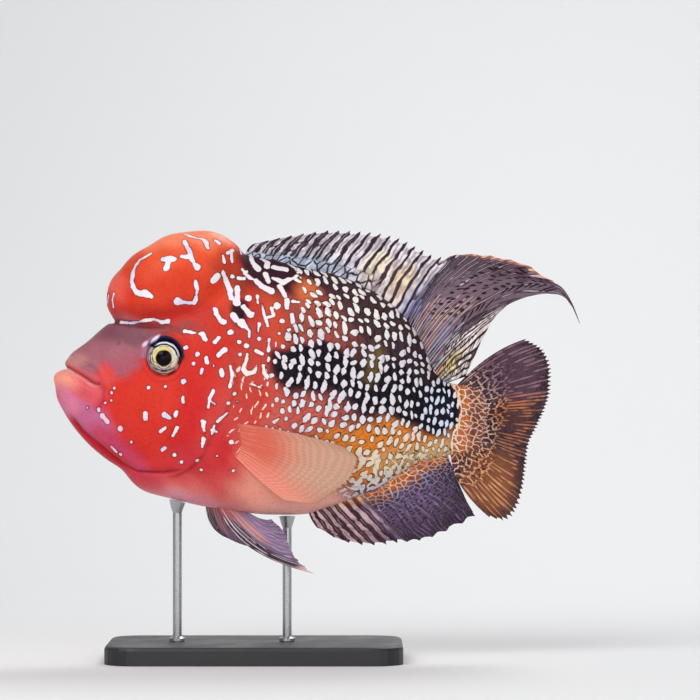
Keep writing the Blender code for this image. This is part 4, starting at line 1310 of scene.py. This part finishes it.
def dorsal_look(share, reach):
    ground = shades((46, 32, 50), [
        ((104, 82, 98), 0.79, 0.55, 0.17, 0.74, 0, 0.25),
        ((122, 96, 110), 0.72, 0.2, 0.08, 0.34, 0, 0.6),
        ((82, 58, 74), 0.7, 0.95, 0.1, 0.24, 0, 0.5),
        ((70, 50, 58), 0.94, 0.5, 0.08, 0.7, 0, 0.4),
        ((204, 128, 108), 0.70, 1.0, 0.1, 0.03, 0, 0.5),
        ((34, 24, 36), 0.3, 0.0, 0.4, 0.16, 0, 0.5),
        ((118, 92, 48), 0.95, 0.35, 0.03, 0.3, 0, 0.6),
        ((96, 70, 80), 0.46, 0.35, 0.1, 0.3, 0, 0.6),
    ], share, reach)
    streak = shades((240, 228, 236), [
        ((190, 204, 222), 0.16, 0.1, 0.2, 0.3, 0, 0.5),
        ((204, 142, 92), 0.68, 0.15, 0.02, 0.2, 0, 0.6),
        ((218, 200, 196), 0.80, 0.2, 0.05, 0.25, 0, 0.6),
        ((248, 232, 200), 0.40, 0.45, 0.04, 0.3, 0, 0.7),
        ((246, 222, 184), 0.50, 0.42, 0.04, 0.3, 0, 0.7),
        ((146, 152, 204), 0.61, 0.2, 0.06, 0.3, 0, 0.7),
        ((204, 174, 168), 0.74, 0.2, 0.1, 0.4, 0, 0.4),
        ((246, 230, 226), 0.94, 0.5, 0.09, 0.7, 0, 0.3),
        ((226, 206, 136), 0.94, 0.3, 0.03, 0.25, 0, 0.7),
        ((240, 180, 154), 0.70, 1.0, 0.1, 0.05, 0, 0.5),
    ], share, reach)
    soft = smooth(share, 0.56, 0.62)
    grey = soft * fall(share, 0.85, 0.89)
    edge = smooth(reach, 0.93, 0.98) * fall(share, 0.74, 0.78)
    streaks = 0.95 - 0.15 * soft - 0.65 * grey * (1 - 0.8 * edge) * smooth(reach, 0.24, 0.5)
    dots = smooth(share, 0.64, 0.7) * smooth(reach, 0.12, 0.25) * (1 - edge)
    cobbles = fall(reach, 0.2, 0.34) * fall(share, 0.36, 0.5)
    fill = 0.42 + 0.28 * smooth(share, 0.2, 0.36) * (1 - soft) + 0.26 * smooth(share, 0.86, 0.9)
    amounts = {"streaks": streaks, "dots": dots, "net": -cobbles, "lines": 0.8, "fill": fill, "fine": soft}
    return ground, streak, styled(len(share), **amounts)


def tail_look(share, reach):
    ground = shades((74, 40, 42), [
        ((80, 52, 68), 0.1, 0.6, 0.26, 0.8, 0, 0.4),
        ((190, 94, 40), 0.6, 0.0, 0.46, 0.2, 0, 0.5),
        ((52, 28, 38), 0.62, 0.7, 0.08, 0.4, 0, 0.6),
        ((136, 76, 42), 0.86, 0.65, 0.16, 0.4, 0, 0.6),
        ((40, 24, 34), 0.4, 1.0, 0.6, 0.14, 0, 0.6),
    ], share, reach)
    streak = shades((176, 104, 60), [
        ((242, 208, 190), 0.5, 0.0, 0.8, 0.46, 0, 0.4),
        ((146, 110, 126), 0.1, 0.7, 0.22, 0.4, 0, 0.4),
        ((214, 124, 48), 0.4, 0.62, 0.1, 0.25, 0, 0.6),
        ((232, 168, 118), 0.85, 0.62, 0.15, 0.36, 0, 0.6),
        ((176, 140, 140), 0.4, 1.04, 0.8, 0.08, 0, 0.5),
    ], share, reach)
    net = fall(reach, 0.46, 0.6) * smooth(share, 0.02, 0.1)
    dots = smooth(reach, 0.06, 0.12) * fall(reach, 0.45, 0.6)
    fill = 0.56 - 0.2 * smooth(reach, 0.85, 1) - 0.16 * smooth(share, 0.7, 0.8)
    streaks = 0.56 + 0.12 * np.sin(23 * share)
    amounts = {"streaks": streaks, "dots": 0.85 * dots, "net": net, "lines": 0.45, "fill": fill}
    return ground, streak, styled(len(share), **amounts)


def anal_look(share, reach):
    ground = shades((42, 26, 44), [
        ((62, 30, 48), 0.15, 0.6, 0.3, 0.8, 0, 0.5),
        ((200, 100, 36), 0.68, 0.0, 0.34, 0.2, 0, 0.5),
        ((92, 68, 100), 0.62, 0.5, 0.2, 0.25, 0, 0.8),
    ], share, reach)
    streak = shades((122, 110, 148), [
        ((240, 198, 200), 0.12, 0.6, 0.32, 0.9, 0, 0.3),
        ((250, 206, 160), 0.7, 0.0, 0.5, 0.2, 0, 0.5),
        ((98, 84, 122), 0.7, 0.95, 0.4, 0.3, 0, 0.5),
    ], share, reach)
    rear = smooth(share, 0.43, 0.48)
    dots = 0.8 * rear * smooth(reach, 0.2, 0.35) * fall(reach, 0.7, 0.9)
    net = 0.8 * rear * fall(reach, 0.34, 0.5)
    streaks, fill = 1 - 0.45 * rear, 0.46 - 0.1 * rear
    amounts = {"streaks": streaks, "dots": dots, "net": net, "lines": 0.6, "fill": fill, "fine": rear}
    return ground, streak, styled(len(share), **amounts)


def breast_look(share, reach):
    ground = shades((200, 142, 116), [
        ((196, 58, 50), 0.5, 0.0, 0.9, 0.2, 0, 0.7),
        ((214, 98, 78), 0.5, 0.24, 0.8, 0.24, 0, 0.8),
        ((196, 150, 124), 0.5, 1.0, 0.8, 0.3, 0, 0.6),
        ((226, 126, 106), 1.0, 0.4, 0.2, 0.7, 0, 0.7),
    ], share, reach)
    streak = shades((228, 176, 144), [((232, 142, 120), 0.5, 0.0, 0.9, 0.5, 0, 0.6)], share, reach)
    streaks = 0.65 - 0.6 * smooth(reach, 0.15, 0.4)
    fine = smooth(reach, 0.2, 0.35)
    return ground, streak, styled(len(share), streaks=streaks, lines=0.08, fill=0.4, fine=fine)


def belly_look(share, reach):
    ground = shades((134, 110, 142), [
        ((48, 32, 50), 0.0, 0.5, 0.32, 0.7, 0, 0.4),
        ((200, 104, 98), 0.5, 0.0, 0.9, 0.16, 0, 0.7),
        ((196, 132, 128), 0.45, 0.3, 0.12, 0.3, 0, 0.6),
        ((226, 178, 176), 0.0, 1.0, 0.16, 0.07, 0, 0.5),
    ], share, reach)
    streak = shades((186, 158, 186), [((226, 206, 216), 0.1, 0.5, 0.22, 0.6, 0, 0.5)], share, reach)
    fine = smooth(share, 0.3, 0.5)
    return ground, streak, styled(len(share), streaks=0.6, lines=0.4, fill=0.4, fine=fine)


tail = fin_paint("tail", (1.0, 1.0), (0.42, 12), (0.42, 15))
breast = fin_paint("breast_fin", (1.0, 3.0), (1.0, 12), (1.0, 19))
belly = fin_paint("belly_fin", (2.0, 4.0), (1.0, 12), (1.0, 19))
dorsal = fin_paint("dorsal", (1.0, 2.0), (1.3, 5), (1.0, 19))
anal = fin_paint("anal", (1.0, 3.0), (2.0, 16), (1.8, 19))
BREAST_COUNT, BELLY_COUNT = (20, 6, 44), (7, 6, 44)
EVEN = (0.02, 1, 0)
for plan in (
    ("dorsal_web", DORSAL, (32, 6, 56), (0.12, 0.58, 0.018), wave, dorsal_look, dorsal, (5, 1.4)),
    ("tail_web", TAIL, (52, 4, 50), (0.04, 1, 0), cupped, tail_look, tail, (8, 1.4)),
    ("anal_web", ANAL, (15, 6, 40), (0.1, 0.45, 0.04), wave, anal_look, anal, (4.0, 1.4)),
    ("pectoral_web_left", PECTORAL, BREAST_COUNT, EVEN, off_flank(-1, 17), breast_look, breast, (2.6, 1.0)),
    ("pelvic_web_left", PELVIC_LEFT, BELLY_COUNT, EVEN, under_belly(-1), belly_look, belly, (3.5, 1.3)),
    ("pectoral_web_right", PECTORAL, BREAST_COUNT, EVEN, off_flank(1, 24), breast_look, breast, (2.6, 1.0)),
    ("pelvic_web_right", PELVIC_RIGHT, BELLY_COUNT, EVEN, under_belly(1), belly_look, belly, (3.5, 1.3)),
):
    fin(*plan)

# --------------------------------------------------------------------------------------------------
# The stand. A flat steel base in fine black powder coat, and two brushed steel rods. Each rod has a flared
# foot on the base and a flared pad under the belly.


def base_paint():
    paint = Paint("stand_base")
    spot = paint.place()
    fine, wide = paint.noise(spot, 1800, 2), paint.noise(spot, 60, 3)
    paint.set(Base_Color=paint.mix(wide, (22, 22, 24), (34, 34, 37)))
    paint.set(Roughness=paint.ramp(wide, 0.3, 0.7, 0.42, 0.55))
    paint.bump(fine, 0.35, 0.0002)
    return paint.material


def rod_paint():
    paint = Paint("stand_rod")
    x, y, z = paint.parts(paint.place())
    brushed = paint.noise(paint.vector(x * 200, y * 200, z * 9000), 1.0, 2)
    paint.set(Base_Color=paint.mix(brushed, (150, 150, 152), (196, 196, 200)), Metallic=1.0)
    paint.set(Roughness=paint.ramp(brushed, 0.3, 0.7, 0.24, 0.38))
    paint.bump(brushed, 0.12, 0.0001)
    return paint.material


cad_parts["stand_base"].data.materials[0] = base_paint()
steel = rod_paint()
for name in ("stand_rod_front", "stand_rod_rear"):
    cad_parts[name].data.materials[0] = steel

# --------------------------------------------------------------------------------------------------
# The studio. A pale floor that curves up behind into a wall seen from its front only, four soft lights and
# the camera.


def studio_paint():
    paint = Paint("studio")
    tone = paint.noise(paint.place(), 2, 2)
    paint.set(Base_Color=paint.mix(tone, (226, 226, 226), (232, 232, 231)), Roughness=0.9)
    front = Term(paint, paint.shader.outputs[0])
    behind = paint.add("NewGeometry", {}, "Backfacing")
    shown = paint.add("MixShader", {0: behind, 1: front, 2: paint.add("BsdfTransparent", {})})
    paint.put(paint.tree.nodes["Material Output"].inputs["Surface"], shown)
    return paint.material


sweep = bmesh.new()
profile = [(-6, 0), (0.45, 0)]
profile += [(0.45 + 0.4 * math.sin(t), 0.4 - 0.4 * math.cos(t)) for t in np.linspace(0.1, math.pi / 2, 14)]
profile += [(0.85, 2.2)]
line = [sweep.verts.new((-6, y, z)) for y, z in profile]
edges = [sweep.edges.new(pair) for pair in zip(line, line[1:])]
drawn = bmesh.ops.extrude_edge_only(sweep, edges=edges)["geom"]
bmesh.ops.translate(sweep, verts=[e for e in drawn if isinstance(e, bmesh.types.BMVert)], vec=(12, 0, 0))
backdrop = make_object("backdrop", sweep)
if sum(face.normal.z for face in backdrop.data.polygons) < 0:
    backdrop.data.flip_normals()
backdrop.data.materials.append(studio_paint())


def area_light(name, place_at, aim, size, power, colour=(1, 1, 1)):
    light = bpy.data.lights.new(name, "AREA")
    light.size, light.energy, light.color = size, power, colour
    lamp = bpy.data.objects.new(name, light)
    lamp.location = place_at
    lamp.rotation_euler = (Vector(aim) - Vector(place_at)).to_track_quat("-Z", "Y").to_euler()
    bpy.context.scene.collection.objects.link(lamp)


area_light("key", (-0.5, -0.8, 0.9), (0, 0, 0.13), 0.7, 8.2)
area_light("fill", (0.7, -1.0, 0.35), (0, 0, 0.12), 0.9, 4.0)
area_light("rim", (0.3, 0.6, 0.9), (0, 0, 0.15), 0.5, 5)
area_light("low", (-0.1, -0.7, 0.06), (0, 0, 0.1), 0.5, 1.5)
world = bpy.data.worlds.new("studio")
world.use_nodes = True
world.node_tree.nodes["Background"].inputs["Color"].default_value = (0.9, 0.93, 1, 1)
world.node_tree.nodes["Background"].inputs["Strength"].default_value = 0.32
bpy.context.scene.world = world
bpy.context.scene.view_settings.view_transform = "Standard"

lens = bpy.data.cameras.new("camera")
lens.lens, lens.sensor_width = 210, 36
camera = bpy.data.objects.new("camera", lens)
camera.location = VIEW_AT
camera.rotation_euler = (math.pi / 2, 0, 0)
bpy.context.scene.collection.objects.link(camera)
bpy.context.scene.camera = camera
